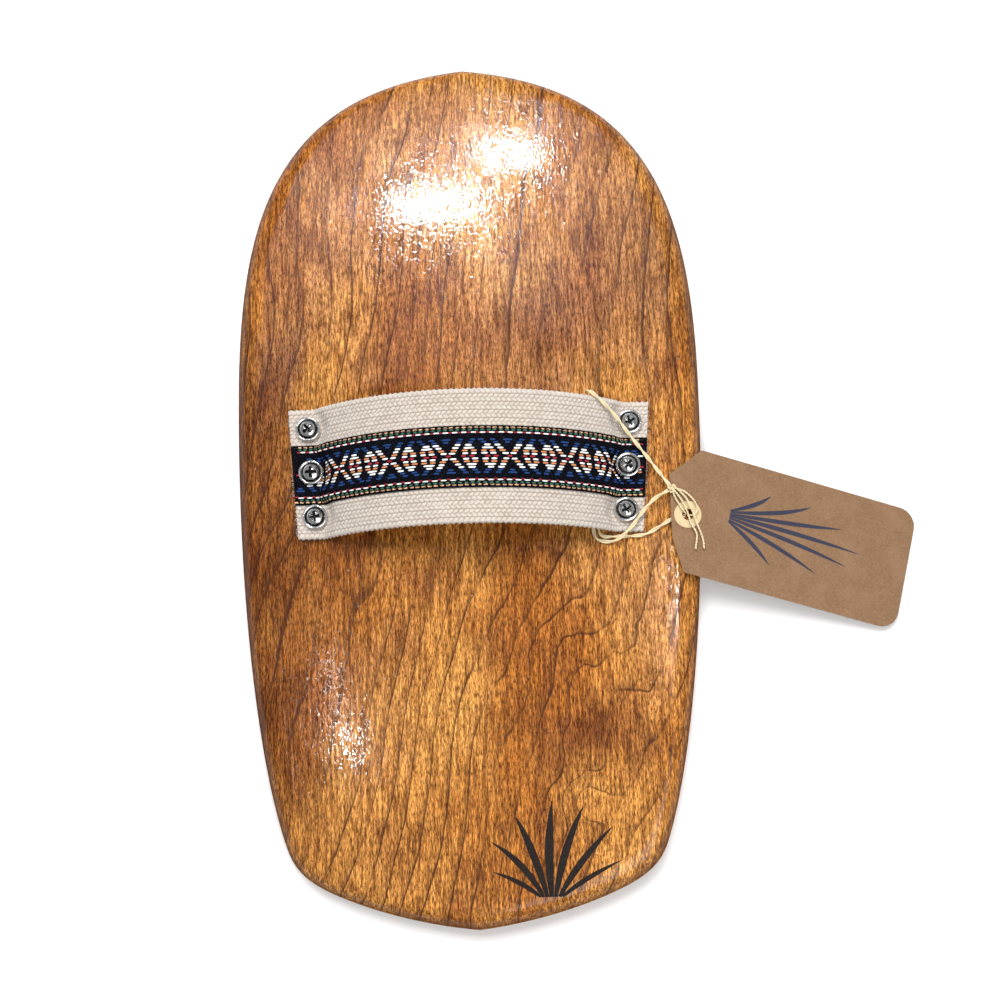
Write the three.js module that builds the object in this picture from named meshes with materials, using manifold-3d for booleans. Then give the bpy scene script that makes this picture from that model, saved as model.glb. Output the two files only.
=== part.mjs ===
// A wooden bodysurfing handplane: a shaped solid-wood board with a webbing hand strap held down by six
// oval-head screws in cup washers, a woven ribbon sewn along the strap, and a card swing tag on a string.
// Millimetres, +Z out of the deck, +Y towards the nose, +X to the right as the rider looks at the deck.
// The origin is the middle of the board's footprint, on the surface that its flat underside rests on.

import * as THREE from "three";
import Module from "manifold-3d";
import { mergeVertices } from "three/addons/utils/BufferGeometryUtils.js";

// ---------------------------------------------------------------------------------------------------
// Driving dimensions
// ---------------------------------------------------------------------------------------------------

const GAP = 0.3; // between faces of neighbouring pieces

// Board
const BOARD_LENGTH = 340;
const BOARD_WIDTH = 180;
const BOARD_THICKNESS = 19;
const DECK_CROWN = 2.4; // fall of the deck from the centre line to the widest rail
const DECK_EDGE_RADIUS = 8;
const UNDERSIDE_EDGE_RADIUS = 3;
const NOSE_START = 60; // where the nose begins to thin, along +Y
const NOSE_DECK_DROP = 6;
const NOSE_ROCKER = 4; // lift of the underside at the nose tip
const TAIL_START = 105; // where the deck begins to fall, along -Y
const TAIL_DECK_DROP = 2;

// Hand strap: 2 inch cotton webbing
const STRAP_WIDTH = 50.8;
const STRAP_THICKNESS = 2.4;
const STRAP_END_TO_RAIL = 22.8; // from the cut end to the board's widest point, on the strap's centre line
const STRAP_CENTRE_Y = 0.9;
const STRAP_END_SLANT = THREE.MathUtils.degToRad(4.4); // the nose side of the strap is the longer one
const ARCH_RISE = 25.7; // from the top of the flat ends to the top of the arch
const ARCH_FOOT_RADIUS = 8; // of the webbing's underside as it leaves the deck
const SHOULDER_SPAN_SHARE = 0.6; // of the foot's distance, where the crown turns into the shoulder
const SHOULDER_DROP_SHARE = 0.26; // of the rise, the crown's fall at the shoulder

// Ribbon sewn on the strap, and the two rows of stitches that hold it
const RIBBON_WIDTH = 23.2;
const RIBBON_THICKNESS = 0.7;
const RIBBON_OFFSET_Y = -0.7; // from the strap's centre line
const STITCH_INSET = 1.1; // from the ribbon's edge to the stitch line
const STITCH_WIDTH = 0.5;
const STITCH_THICKNESS = 0.3;

// Oval-head wood screws and their cup washers
const SCREW_INSET = 7; // from the strap's cut end
const SCREW_SHANK_RADIUS = 1.4;
const SCREW_LENGTH = 13.5; // below the head
const SCREW_TIP_LENGTH = 3.5;
const SCREW_HOLE_CLEARANCE = 0.3;
const SCREW_HOLE_SPARE_DEPTH = 0.8;
const HEAD_RADIUS = 2.8;
const HEAD_SEAT_HEIGHT = 1.3; // of the countersunk cone
const HEAD_DOME_HEIGHT = 0.8;
const HEAD_EDGE_HEIGHT = 0.2;
const RECESS_WIDTH = 0.7;
const RECESS_LENGTH = 3;
const RECESS_DEPTH = 1.1;
const WASHER_RADIUS = 4.5;
const WASHER_CREST_RADIUS = 3.5;
const WASHER_HEIGHT = 1.9;
const WASHER_RIM_HEIGHT = 0.5;

// Card swing tag: the tip lies on the deck, the rest slopes down past the rail to the resting surface
const TAG_LENGTH = 95;
const TAG_WIDTH = 48;
const TAG_THICKNESS = 0.4;
const TAG_TIP_WIDTH = 24.4; // of the straight end between the two clipped corners
const TAG_CLIP_LENGTH = 7; // how far along the tag the corners are clipped
const TAG_CORNER_RADIUS = 7;
const TAG_YAW = THREE.MathUtils.degToRad(-15); // the tag points right and a little towards the tail
const TAG_TIP_SHIFT = new THREE.Vector2(8.9, -15.7); // to the tip's middle, from the middle of the strap's end
const TAG_TIP_HEIGHT = 2.2; // of the card's underside over the deck
const TAG_BEND_TO_RAIL = 4.5; // from the bend in the card to the board's widest point
const TAG_END_CLEARANCE = 0.45; // between the lowest corner and the resting surface
const TAG_HOLE_RADIUS = 2.2;
const TAG_HOLE_PLACE = new THREE.Vector2(6.3, -3.6); // from the middle of the tip edge
const PATCH_RADIUS = 5.2;
const PATCH_THICKNESS = 0.3;

// Cotton string: the loop and the return are two strands laid together, the tie is one strand
const CORD_RADIUS = 0.75;
const STRAND_RADIUS = 0.4;
const KNOT_RADIUS = 1.3;

// The outer screws' washers stand just clear of the ribbon
const SCREW_PITCH = RIBBON_WIDTH / 2 + Math.abs(RIBBON_OFFSET_Y) + WASHER_RADIUS + GAP;

// Resolution of the round shapes
const OUTLINE_STEPS = 52; // along one side of the board
const WASHER_SIDES = 20;
const SHANK_SIDES = 12;
const CORD_SIDES = 8;
const MARGIN = 5; // how far cutters and trimmed stock run past what they cut

// ---------------------------------------------------------------------------------------------------
// Solids
// ---------------------------------------------------------------------------------------------------

const wasm = await Module();
wasm.setup();

// A closed geometry as a manifold-3d solid, with its shared vertices merged.
function solidOf(geometry) {
  const bare = geometry.clone();
  bare.deleteAttribute("normal");
  bare.deleteAttribute("uv");
  const merged = mergeVertices(bare, 1e-4);
  return new wasm.Manifold(
    new wasm.Mesh({
      numProp: 3,
      vertProperties: merged.attributes.position.array,
      triVerts: new Uint32Array(merged.index.array),
    }),
  );
}

// A manifold-3d solid as a geometry with flat-shaded faces.
function geometryOf(solid) {
  const mesh = solid.getMesh();
  const indexed = new THREE.BufferGeometry();
  indexed.setAttribute("position", new THREE.Float32BufferAttribute(mesh.vertProperties, 3));
  indexed.setIndex(Array.from(mesh.triVerts));
  const geometry = indexed.toNonIndexed();
  geometry.computeVertexNormals();
  return geometry;
}

// A plan outline (x, y) extruded upwards from bottom to top.
function plate(shape, bottom, top, curveSegments = 8) {
  const geometry = new THREE.ExtrudeGeometry(shape, {
    depth: top - bottom,
    bevelEnabled: false,
    curveSegments,
  });
  return geometry.translate(0, 0, bottom);
}

// A side profile (x, z) extruded along Y, width wide about centreY.
function slabAlongY(profile, width, centreY) {
  const geometry = new THREE.ExtrudeGeometry(new THREE.Shape(profile), {
    depth: width,
    bevelEnabled: false,
  });
  return geometry.rotateX(Math.PI / 2).translate(0, centreY + width / 2, 0);
}

// ---------------------------------------------------------------------------------------------------
// Board
// ---------------------------------------------------------------------------------------------------

const HALF_LENGTH = BOARD_LENGTH / 2;
const HALF_WIDTH = BOARD_WIDTH / 2;
const STRAP_HALF_SPAN = HALF_WIDTH - STRAP_END_TO_RAIL;

// How far along a stretch a place lies, from 0 at its start to 1 at its end, squared for a smooth start.
function easeIn(place, start, end) {
  const share = Math.max(0, (place - start) / (end - start));
  return share * share;
}

function deckZ(x, y) {
  const crown = DECK_CROWN * (x / HALF_WIDTH) ** 2;
  const nose = NOSE_DECK_DROP * easeIn(y, NOSE_START, HALF_LENGTH);
  const tail = TAIL_DECK_DROP * easeIn(-y, TAIL_START, HALF_LENGTH);
  return BOARD_THICKNESS - crown - nose - tail;
}

function undersideZ(y) {
  return NOSE_ROCKER * easeIn(y, NOSE_START, HALF_LENGTH);
}

// The right side of the plan outline, from the nose tip round the shoulder to the widest point, down to
// the tight tail corner and across to the tail tip. Shares of the half width and half length.
function rightSide() {
  const path = new THREE.Path();
  const to = (...shares) => shares.map((share, i) => share * (i % 2 ? HALF_LENGTH : HALF_WIDTH));
  path.moveTo(...to(0, 1));
  path.bezierCurveTo(...to(0.797, 0.954, 1, 0.685, 1, 0.22));
  path.bezierCurveTo(...to(1, -0.294, 0.894, -0.665, 0.783, -0.824));
  path.bezierCurveTo(...to(0.752, -0.868, 0.694, -0.894, 0.583, -0.92));
  path.bezierCurveTo(...to(0.414, -0.96, 0.198, -0.989, 0, -1));
  return path;
}

// The whole outline, anticlockwise from the tail tip, each point with its inward normal.
function boardOutline() {
  const right = rightSide().getSpacedPoints(OUTLINE_STEPS).reverse();
  const left = right.slice(1, -1).reverse();
  const points = [...right, ...left.map((p) => new THREE.Vector2(-p.x, p.y))];
  return points.map((point, i) => {
    const before = points.at(i - 1);
    const after = points[(i + 1) % points.length];
    const along = after.clone().sub(before).normalize();
    return { point, inward: new THREE.Vector2(-along.y, along.x) };
  });
}

// One ring of the board's skin: the outline moved inwards and shrunk about the middle, at the height
// that heightAt gives. radiusAt gives the edge radius at each outline point.
function skinRing(outline, { inset, shrink = 1, radiusAt, heightAt }) {
  return outline.map(({ point, inward }) => {
    const radius = radiusAt(point);
    const plan = point.clone().addScaledVector(inward, inset * radius).multiplyScalar(shrink);
    return new THREE.Vector3(plan.x, plan.y, heightAt(plan, radius));
  });
}

// A closed skin through stacked rings of equal length, with a fan to a point at each end.
function skinThrough(first, rings, last) {
  const count = rings[0].length;
  const vertices = [first, ...rings.flat(), last];
  const at = (ring, i) => 1 + ring * count + (i % count);
  const faces = [];
  for (let i = 0; i < count; i++) {
    faces.push(0, at(0, i + 1), at(0, i));
    for (let ring = 1; ring < rings.length; ring++) {
      faces.push(at(ring - 1, i), at(ring - 1, i + 1), at(ring, i + 1));
      faces.push(at(ring - 1, i), at(ring, i + 1), at(ring, i));
    }
    faces.push(at(rings.length - 1, i), at(rings.length - 1, i + 1), vertices.length - 1);
  }
  const geometry = new THREE.BufferGeometry().setFromPoints(vertices);
  geometry.setIndex(faces);
  return geometry;
}

// The edge radii give way where the nose is too thin for both of them.
function edgeRadius(wanted, shareOfWall) {
  return (point) => Math.min(wanted, shareOfWall * (deckZ(point.x, point.y) - undersideZ(point.y)));
}

function boardBlank() {
  const outline = boardOutline();
  const deckRadius = edgeRadius(DECK_EDGE_RADIUS, 0.6);
  const underRadius = edgeRadius(UNDERSIDE_EDGE_RADIUS, 0.3);
  const rings = [];

  const underRing = (shrink, angle) => ({
    inset: 1 - Math.cos(angle),
    shrink,
    radiusAt: underRadius,
    heightAt: (plan, radius) => undersideZ(plan.y) + radius * (1 - Math.sin(angle)),
  });
  const deckRing = (shrink, angle) => ({
    inset: 1 - Math.cos(angle),
    shrink,
    radiusAt: deckRadius,
    heightAt: (plan, radius) => deckZ(plan.x, plan.y) - radius * (1 - Math.sin(angle)),
  });

  for (const shrink of [0.35, 0.6, 0.8]) rings.push(underRing(shrink, Math.PI / 2));
  const underSteps = 3;
  for (let i = underSteps; i >= 0; i--) rings.push(underRing(1, ((Math.PI / 2) * i) / underSteps));
  const deckSteps = 6;
  for (let i = 0; i <= deckSteps; i++) rings.push(deckRing(1, ((Math.PI / 2) * i) / deckSteps));
  for (const shrink of [0.88, 0.74, 0.59, 0.43, 0.26, 0.12]) rings.push(deckRing(shrink, Math.PI / 2));

  const skin = rings.map((ring) => skinRing(outline, ring));
  return skinThrough(new THREE.Vector3(0, 0, 0), skin, new THREE.Vector3(0, 0, deckZ(0, 0)));
}

// ---------------------------------------------------------------------------------------------------
// Places of the strap's ends and of the fasteners
// ---------------------------------------------------------------------------------------------------

const SCREW_X = STRAP_HALF_SPAN - SCREW_INSET;
const SEAT_TILT = Math.atan((2 * DECK_CROWN * SCREW_X) / HALF_WIDTH ** 2); // the deck's slope at the screws
const ARCH_FOOT_X = SCREW_X - SCREW_PITCH * Math.tan(STRAP_END_SLANT) - WASHER_RADIUS; // past the washers
const SEAT_NORMAL = new THREE.Vector2(Math.sin(SEAT_TILT), Math.cos(SEAT_TILT));
const SEAT_ALONG = new THREE.Vector2(Math.cos(SEAT_TILT), -Math.sin(SEAT_TILT));

// A point (x, z) over the right-hand seat, the plane that touches the deck at the screws.
function overSeat(x, height) {
  return new THREE.Vector2(SCREW_X, deckZ(SCREW_X, STRAP_CENTRE_Y))
    .addScaledVector(SEAT_ALONG, (x - SCREW_X) / SEAT_ALONG.x)
    .addScaledVector(SEAT_NORMAL, height);
}

const ROWS = { nose: 1, middle: 0, tail: -1 };
const SIDES = { left: -1, right: 1 };

// Each screw: its side, its row and the frame on the deck that its strap end, washer and screw share.
const FASTENERS = Object.entries(SIDES).flatMap(([side, sign]) =>
  Object.entries(ROWS).map(([row, step]) => {
    const fromCentre = step * SCREW_PITCH;
    const seat = overSeat(SCREW_X + fromCentre * Math.tan(STRAP_END_SLANT), 0);
    const frame = new THREE.Matrix4()
      .makeTranslation(sign * seat.x, STRAP_CENTRE_Y + fromCentre, seat.y)
      .multiply(new THREE.Matrix4().makeRotationY(sign * SEAT_TILT));
    return { name: side + "_" + row, row, frame };
  }),
);

// Heights over the seat
const WEBBING_BOTTOM = GAP;
const WEBBING_TOP = WEBBING_BOTTOM + STRAP_THICKNESS;
const RIBBON_BOTTOM = WEBBING_TOP + GAP;
const RIBBON_TOP = RIBBON_BOTTOM + RIBBON_THICKNESS;
const STITCH_BOTTOM = RIBBON_TOP + GAP;
const STITCH_TOP = STITCH_BOTTOM + STITCH_THICKNESS;

// The washer of the middle row clamps the ribbon too.
function washerSeat(row) {
  return (row === "middle" ? RIBBON_TOP : WEBBING_TOP) + GAP;
}

// The holes for one screw: down through everything that it clamps, and its pilot hole in the wood.
function screwHole({ row, frame }) {
  const tip = washerSeat(row) + WASHER_RIM_HEIGHT - SCREW_LENGTH;
  const bottom = tip - SCREW_HOLE_SPARE_DEPTH;
  const top = WEBBING_TOP + MARGIN;
  const radius = SCREW_SHANK_RADIUS + SCREW_HOLE_CLEARANCE;
  const bore = new THREE.CylinderGeometry(radius, radius, top - bottom, SHANK_SIDES);
  bore.rotateX(Math.PI / 2).translate(0, 0, (top + bottom) / 2);
  return solidOf(bore.applyMatrix4(frame));
}

function drilled(solid, fasteners = FASTENERS) {
  return fasteners.reduce((left, fastener) => left.subtract(screwHole(fastener)), solid);
}

// ---------------------------------------------------------------------------------------------------
// Strap, ribbon and stitching, all bent over one arch
// ---------------------------------------------------------------------------------------------------

// The right half of the arch, for a layer at a height over the webbing's underside: a wide crown arc, a
// tighter shoulder arc and the foot's hollow arc, each tangent to the next, then the flat end.
function archHalf(height) {
  const foot = overSeat(ARCH_FOOT_X, WEBBING_BOTTOM + ARCH_FOOT_RADIUS);
  const crownTop = overSeat(SCREW_X, WEBBING_BOTTOM).y + ARCH_RISE;
  const reach = SHOULDER_SPAN_SHARE * ARCH_FOOT_X;
  const drop = SHOULDER_DROP_SHARE * ARCH_RISE;
  const crownRadius = (reach ** 2 + drop ** 2) / (2 * drop);
  const crownCentre = new THREE.Vector2(0, crownTop - crownRadius);
  const shoulderStart = Math.asin(reach / crownRadius);
  const outward = new THREE.Vector2(Math.sin(shoulderStart), Math.cos(shoulderStart));
  const junction = crownCentre.clone().addScaledVector(outward, crownRadius);
  const toJunction = junction.clone().sub(foot);
  const shoulderRadius =
    (toJunction.lengthSq() - ARCH_FOOT_RADIUS ** 2) / (2 * (ARCH_FOOT_RADIUS + outward.dot(toJunction)));
  const shoulderCentre = junction.clone().addScaledVector(outward, -shoulderRadius);
  const shoulderEnd = Math.atan2(foot.x - shoulderCentre.x, foot.y - shoulderCentre.y);

  // Angles are measured from straight up, turning towards +X.
  const arc = (centre, radius, from, to, steps) =>
    Array.from({ length: steps }, (_, i) => {
      const angle = from + ((to - from) * i) / steps;
      return new THREE.Vector2(centre.x + radius * Math.sin(angle), centre.y + radius * Math.cos(angle));
    });
  return [
    ...arc(crownCentre, crownRadius + height, 0, shoulderStart, 7),
    ...arc(shoulderCentre, shoulderRadius + height, shoulderStart, shoulderEnd, 5),
    ...arc(foot, ARCH_FOOT_RADIUS - height, shoulderEnd + Math.PI, SEAT_TILT + Math.PI, 5),
    overSeat(ARCH_FOOT_X, WEBBING_BOTTOM + height),
    overSeat(STRAP_HALF_SPAN + MARGIN, WEBBING_BOTTOM + height),
  ];
}

// The strap's plan, longer on its nose side, with a cut end on each slanted line.
function strapPlan() {
  const halfAt = (fromCentre) => STRAP_HALF_SPAN + fromCentre * Math.tan(STRAP_END_SLANT);
  const reach = STRAP_WIDTH / 2 + MARGIN;
  return new THREE.Shape([
    new THREE.Vector2(-halfAt(-reach), STRAP_CENTRE_Y - reach),
    new THREE.Vector2(halfAt(-reach), STRAP_CENTRE_Y - reach),
    new THREE.Vector2(halfAt(reach), STRAP_CENTRE_Y + reach),
    new THREE.Vector2(-halfAt(reach), STRAP_CENTRE_Y + reach),
  ]);
}

// A layer of the strap from one height over the seat to another, width wide about centreY.
function strapLayer(bottom, top, width, centreY) {
  const wholeArch = (height) => {
    const right = archHalf(height - WEBBING_BOTTOM);
    const left = right.slice(1).map((p) => new THREE.Vector2(-p.x, p.y));
    return [...left.reverse(), ...right];
  };
  const profile = [...wholeArch(bottom), ...wholeArch(top).reverse()];
  const stock = solidOf(slabAlongY(profile, width, centreY));
  const trim = solidOf(plate(strapPlan(), 0, BOARD_THICKNESS + 2 * ARCH_RISE + MARGIN));
  return stock.intersect(trim);
}

const RIBBON_CENTRE_Y = STRAP_CENTRE_Y + RIBBON_OFFSET_Y;

function strapWebbing() {
  return drilled(strapLayer(WEBBING_BOTTOM, WEBBING_TOP, STRAP_WIDTH, STRAP_CENTRE_Y));
}

function strapRibbon() {
  const throughRibbon = FASTENERS.filter(({ row }) => row === "middle");
  return drilled(strapLayer(RIBBON_BOTTOM, RIBBON_TOP, RIBBON_WIDTH, RIBBON_CENTRE_Y), throughRibbon);
}

function ribbonStitching(side) {
  const centreY = RIBBON_CENTRE_Y + side * (RIBBON_WIDTH / 2 - STITCH_INSET);
  return strapLayer(STITCH_BOTTOM, STITCH_TOP, STITCH_WIDTH, centreY);
}

// ---------------------------------------------------------------------------------------------------
// Fasteners, standing on z = 0 of their own frame
// ---------------------------------------------------------------------------------------------------

// The countersunk seat in the washer starts at its rim height, clear of the head's cone.
function washerGeometry() {
  const bore = SCREW_SHANK_RADIUS + GAP;
  const seatTop = HEAD_RADIUS + GAP;
  const profile = [
    [bore, 0],
    [WASHER_RADIUS, 0],
    [WASHER_RADIUS, WASHER_RIM_HEIGHT],
    [(WASHER_RADIUS + WASHER_CREST_RADIUS) / 2, WASHER_HEIGHT * 0.8],
    [WASHER_CREST_RADIUS, WASHER_HEIGHT],
    [seatTop, WASHER_HEIGHT],
    [bore, WASHER_HEIGHT - HEAD_SEAT_HEIGHT],
    [bore, 0],
  ];
  const points = profile.map(([radius, z]) => new THREE.Vector2(radius, z));
  return new THREE.LatheGeometry(points, WASHER_SIDES).rotateX(Math.PI / 2);
}

function screwGeometry() {
  const headBottom = WASHER_HEIGHT - HEAD_SEAT_HEIGHT;
  const headEdge = WASHER_HEIGHT + GAP / 2;
  const headTop = headEdge + HEAD_EDGE_HEIGHT;
  const tip = WASHER_RIM_HEIGHT - SCREW_LENGTH;
  const profile = [
    [0, tip],
    [SCREW_SHANK_RADIUS, tip + SCREW_TIP_LENGTH],
    [SCREW_SHANK_RADIUS, headBottom + GAP / 2],
    [HEAD_RADIUS, headEdge],
    [HEAD_RADIUS, headTop],
    [HEAD_RADIUS * 0.72, headTop + HEAD_DOME_HEIGHT * 0.65],
    [HEAD_RADIUS * 0.36, headTop + HEAD_DOME_HEIGHT * 0.93],
    [0, headTop + HEAD_DOME_HEIGHT],
  ];
  const points = profile.map(([radius, z]) => new THREE.Vector2(radius, z));
  const body = solidOf(new THREE.LatheGeometry(points, SHANK_SIDES).rotateX(Math.PI / 2));
  const recessTop = headTop + HEAD_DOME_HEIGHT;
  const slot = (width, length) => {
    const height = 2 * RECESS_DEPTH;
    return solidOf(new THREE.BoxGeometry(width, length, height).translate(0, 0, recessTop));
  };
  const cross = slot(RECESS_WIDTH, RECESS_LENGTH).add(slot(RECESS_LENGTH, RECESS_WIDTH));
  return geometryOf(body.subtract(cross));
}

// ---------------------------------------------------------------------------------------------------
// Swing tag, in a frame at the middle of its tip edge
// ---------------------------------------------------------------------------------------------------

const TAG_TIP_X = STRAP_HALF_SPAN + TAG_TIP_SHIFT.x;
const TAG_TIP_Y = STRAP_CENTRE_Y + TAG_TIP_SHIFT.y;
const TAG_FRAME = new THREE.Vector3(TAG_TIP_X, TAG_TIP_Y, deckZ(TAG_TIP_X, TAG_TIP_Y) + TAG_TIP_HEIGHT);
const TAG_BEND = HALF_WIDTH - TAG_BEND_TO_RAIL - TAG_TIP_X; // from the tip edge to the bend over the rail

// The card's plan: the tip edge lies along Y, and the body points along the yaw, with clipped corners
// at the tip and round ones at the far end.
function tagPlan() {
  const along = new THREE.Vector2(1, 0).rotateAround(new THREE.Vector2(), TAG_YAW);
  const across = new THREE.Vector2(-along.y, along.x);
  const place = (u, v) => along.clone().multiplyScalar(u).addScaledVector(across, v);
  const half = TAG_WIDTH / 2;
  const skew = (TAG_TIP_WIDTH / 2) * Math.tan(-TAG_YAW);
  const shape = new THREE.Shape();
  const lineTo = (point) => shape.lineTo(point.x, point.y);
  const roundTo = (corner, end) => shape.quadraticCurveTo(corner.x, corner.y, end.x, end.y);
  shape.moveTo(0, -TAG_TIP_WIDTH / 2);
  lineTo(place(TAG_CLIP_LENGTH + skew, -half));
  lineTo(place(TAG_LENGTH - TAG_CORNER_RADIUS, -half));
  roundTo(place(TAG_LENGTH, -half), place(TAG_LENGTH, -half + TAG_CORNER_RADIUS));
  lineTo(place(TAG_LENGTH, half - TAG_CORNER_RADIUS));
  roundTo(place(TAG_LENGTH, half), place(TAG_LENGTH - TAG_CORNER_RADIUS, half));
  lineTo(place(TAG_CLIP_LENGTH, half));
  lineTo(new THREE.Vector2(0, TAG_TIP_WIDTH / 2));
  return shape;
}

// The slope that brings the far end of the card down to the resting surface.
const TAG_REACH = Math.max(...tagPlan().getPoints(8).map((point) => point.x));
const TAG_FALL = (TAG_FRAME.z - TAG_END_CLEARANCE) / (TAG_REACH - TAG_BEND);

// Height of the card's underside over the tag's frame.
function cardZ(x) {
  return x <= TAG_BEND ? 0 : -TAG_FALL * (x - TAG_BEND);
}

// A sheet that follows the bent card, from one height over its underside to another.
function bentSheet(bottom, top) {
  const stations = [-MARGIN, TAG_BEND, TAG_REACH + MARGIN];
  const edge = (height) => stations.map((x) => new THREE.Vector2(x, cardZ(x) + height));
  return solidOf(slabAlongY([...edge(bottom), ...edge(top).reverse()], 2 * TAG_LENGTH, 0));
}

function tagHole() {
  const depth = 2 * TAG_FRAME.z;
  const bore = new THREE.CylinderGeometry(TAG_HOLE_RADIUS, TAG_HOLE_RADIUS, depth, 16);
  return solidOf(bore.rotateX(Math.PI / 2).translate(TAG_HOLE_PLACE.x, TAG_HOLE_PLACE.y, 0));
}

function tagCard() {
  const plan = solidOf(plate(tagPlan(), -TAG_FRAME.z - MARGIN, MARGIN, 6));
  return bentSheet(0, TAG_THICKNESS).intersect(plan).subtract(tagHole());
}

// The round patch that reinforces the hole, on one face of the card.
function tagPatch(bottom) {
  const disc = new THREE.CylinderGeometry(PATCH_RADIUS, PATCH_RADIUS, 2 * MARGIN, 24);
  disc.rotateX(Math.PI / 2).translate(TAG_HOLE_PLACE.x, TAG_HOLE_PLACE.y, 0);
  return bentSheet(bottom, bottom + PATCH_THICKNESS).intersect(solidOf(disc)).subtract(tagHole());
}

// ---------------------------------------------------------------------------------------------------
// String
// ---------------------------------------------------------------------------------------------------

// A round cord along a smooth curve through the points.
function cordGeometry(points, radius, steps) {
  const path = new THREE.CatmullRomCurve3(points, false, "centripetal");
  const section = new THREE.Shape(
    Array.from({ length: CORD_SIDES }, (_, i) => {
      const angle = (2 * Math.PI * i) / CORD_SIDES;
      return new THREE.Vector2(radius * Math.cos(angle), radius * Math.sin(angle));
    }),
  );
  return new THREE.ExtrudeGeometry(section, { steps, extrudePath: path, bevelEnabled: false });
}

const NOSE_EDGE_Y = STRAP_CENTRE_Y + STRAP_WIDTH / 2;
const TAIL_EDGE_Y = STRAP_CENTRE_Y - STRAP_WIDTH / 2;

// Height of the webbing's top face at x, read off the arch between its points.
function webbingTopZ(x) {
  const arch = archHalf(STRAP_THICKNESS);
  const next = arch.findIndex((point) => point.x >= x);
  const [before, after] = [arch[next - 1], arch[next]];
  return THREE.MathUtils.mapLinear(x, before.x, after.x, before.y, after.y);
}

// Places for the middle of the string, with x measured from the arch's right foot: resting on the deck
// or on the webbing when rise is 0, or at an offset from the middle of the tag's tip edge.
function onDeck(fromFoot, y, rise = 0) {
  const x = ARCH_FOOT_X + fromFoot;
  return new THREE.Vector3(x, y, deckZ(x, y) + CORD_RADIUS + GAP + rise);
}

function onWebbing(fromFoot, y, rise = 0) {
  const x = ARCH_FOOT_X + fromFoot;
  return new THREE.Vector3(x, y, webbingTopZ(x) + CORD_RADIUS + GAP + rise);
}

// Beside the right tail washer, at a direction from it in degrees anticlockwise from +X.
function pastTailWasher(direction, clearance, rise) {
  const angle = THREE.MathUtils.degToRad(direction);
  const reach = WASHER_RADIUS + CORD_RADIUS + clearance;
  const fromFoot = WASHER_RADIUS + reach * Math.cos(angle);
  return onWebbing(fromFoot, STRAP_CENTRE_Y - SCREW_PITCH + reach * Math.sin(angle), rise);
}

function nearTag(x, y, z) {
  return TAG_FRAME.clone().add(new THREE.Vector3(x, y, z));
}

// From the knot at the tag up over the strap's corner and nose edge, down under the strap, out at its
// tail edge, and back over its other corner to the knot.
const LOOP_POINTS = [
  nearTag(-0.9, 7.9, 1.9),
  nearTag(-4.5, 13.1, 2.5),
  nearTag(-7.7, 17.3, 3.4),
  onWebbing(10.6, NOSE_EDGE_Y - 19.4, 2.0),
  onWebbing(6.5, NOSE_EDGE_Y - 14.2, 2.5),
  onWebbing(2.2, NOSE_EDGE_Y - 8.5, 3.4),
  onWebbing(-1.8, NOSE_EDGE_Y - 4.3, 5.3),
  onWebbing(-5.5, NOSE_EDGE_Y - 1.3, 4.9),
  onWebbing(-8.2, NOSE_EDGE_Y + 1.1, 2.6),
  onWebbing(-9.4, NOSE_EDGE_Y + 2.5, -2.0),
  onWebbing(-9.3, NOSE_EDGE_Y + 1.7, -6.0),
  onDeck(-9.0, NOSE_EDGE_Y - 1.3, 3.8),
  onDeck(-8.7, NOSE_EDGE_Y - 7.3, 2.0),
  onDeck(-8.4, NOSE_EDGE_Y - 15.3, 0.5),
  onDeck(-8.2, NOSE_EDGE_Y - 24.3),
  onDeck(-8.2, TAIL_EDGE_Y + 16.5),
  onDeck(-8.3, TAIL_EDGE_Y + 7.5),
  onDeck(-8.2, TAIL_EDGE_Y - 0.1),
  onDeck(-7.0, TAIL_EDGE_Y - 3.7),
  onDeck(-4.0, TAIL_EDGE_Y - 5.1),
  onDeck(-0.4, TAIL_EDGE_Y - 4.5, 0.5),
  onDeck(2.2, TAIL_EDGE_Y - 2.7, 1.9),
  onWebbing(4.4, TAIL_EDGE_Y - 0.5, 0.4),
  pastTailWasher(-74, 1.6, 0.6),
  pastTailWasher(-37, 0.5, 0.9),
  nearTag(-9.8, -1.2, 2.8),
  nearTag(-6.0, 2.6, 2.3),
  nearTag(-1.8, 5.4, 1.9),
];

// From its end on the loop, hidden under the strap, out along the strap's tail edge to the tag's tip.
const RETURN_POINTS = [
  onDeck(-6.2, TAIL_EDGE_Y + 15.5),
  onDeck(-6.2, TAIL_EDGE_Y + 9.5),
  onDeck(-6.2, TAIL_EDGE_Y + 4),
  onDeck(-5.7, TAIL_EDGE_Y - 0.1),
  onDeck(-3.5, TAIL_EDGE_Y - 1.8),
  onDeck(0.6, TAIL_EDGE_Y - 1.9),
  onDeck(6.6, TAIL_EDGE_Y - 1.7),
  onDeck(11.8, TAIL_EDGE_Y - 0.9),
  onDeck(16.8, TAIL_EDGE_Y + 1.7),
  onDeck(20.6, TAIL_EDGE_Y + 4.1),
];

const KNOT_PLACE = nearTag(0.3, 6.4, 2.0);

// The single strands of the tie: each comes up through the hole and goes round its side to the knot.
const TIE_RIGHT_POINTS = [
  nearTag(6.9, -4.0, -0.2),
  nearTag(7.2, -4.1, 1.4),
  nearTag(8.6, -4.0, 2.0),
  nearTag(9.9, -1.6, 1.8),
  nearTag(8.3, 2.0, 1.75),
  nearTag(5.1, 5.1, 1.9),
  nearTag(2.3, 6.5, 2.0),
];
const TIE_LEFT_POINTS = [
  nearTag(5.4, -3.6, -0.2),
  nearTag(5.2, -3.3, 1.4),
  nearTag(4.3, -2.0, 2.0),
  nearTag(3.1, 0.0, 1.85),
  nearTag(1.8, 2.4, 1.8),
  nearTag(1.0, 4.3, 1.9),
];

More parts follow.
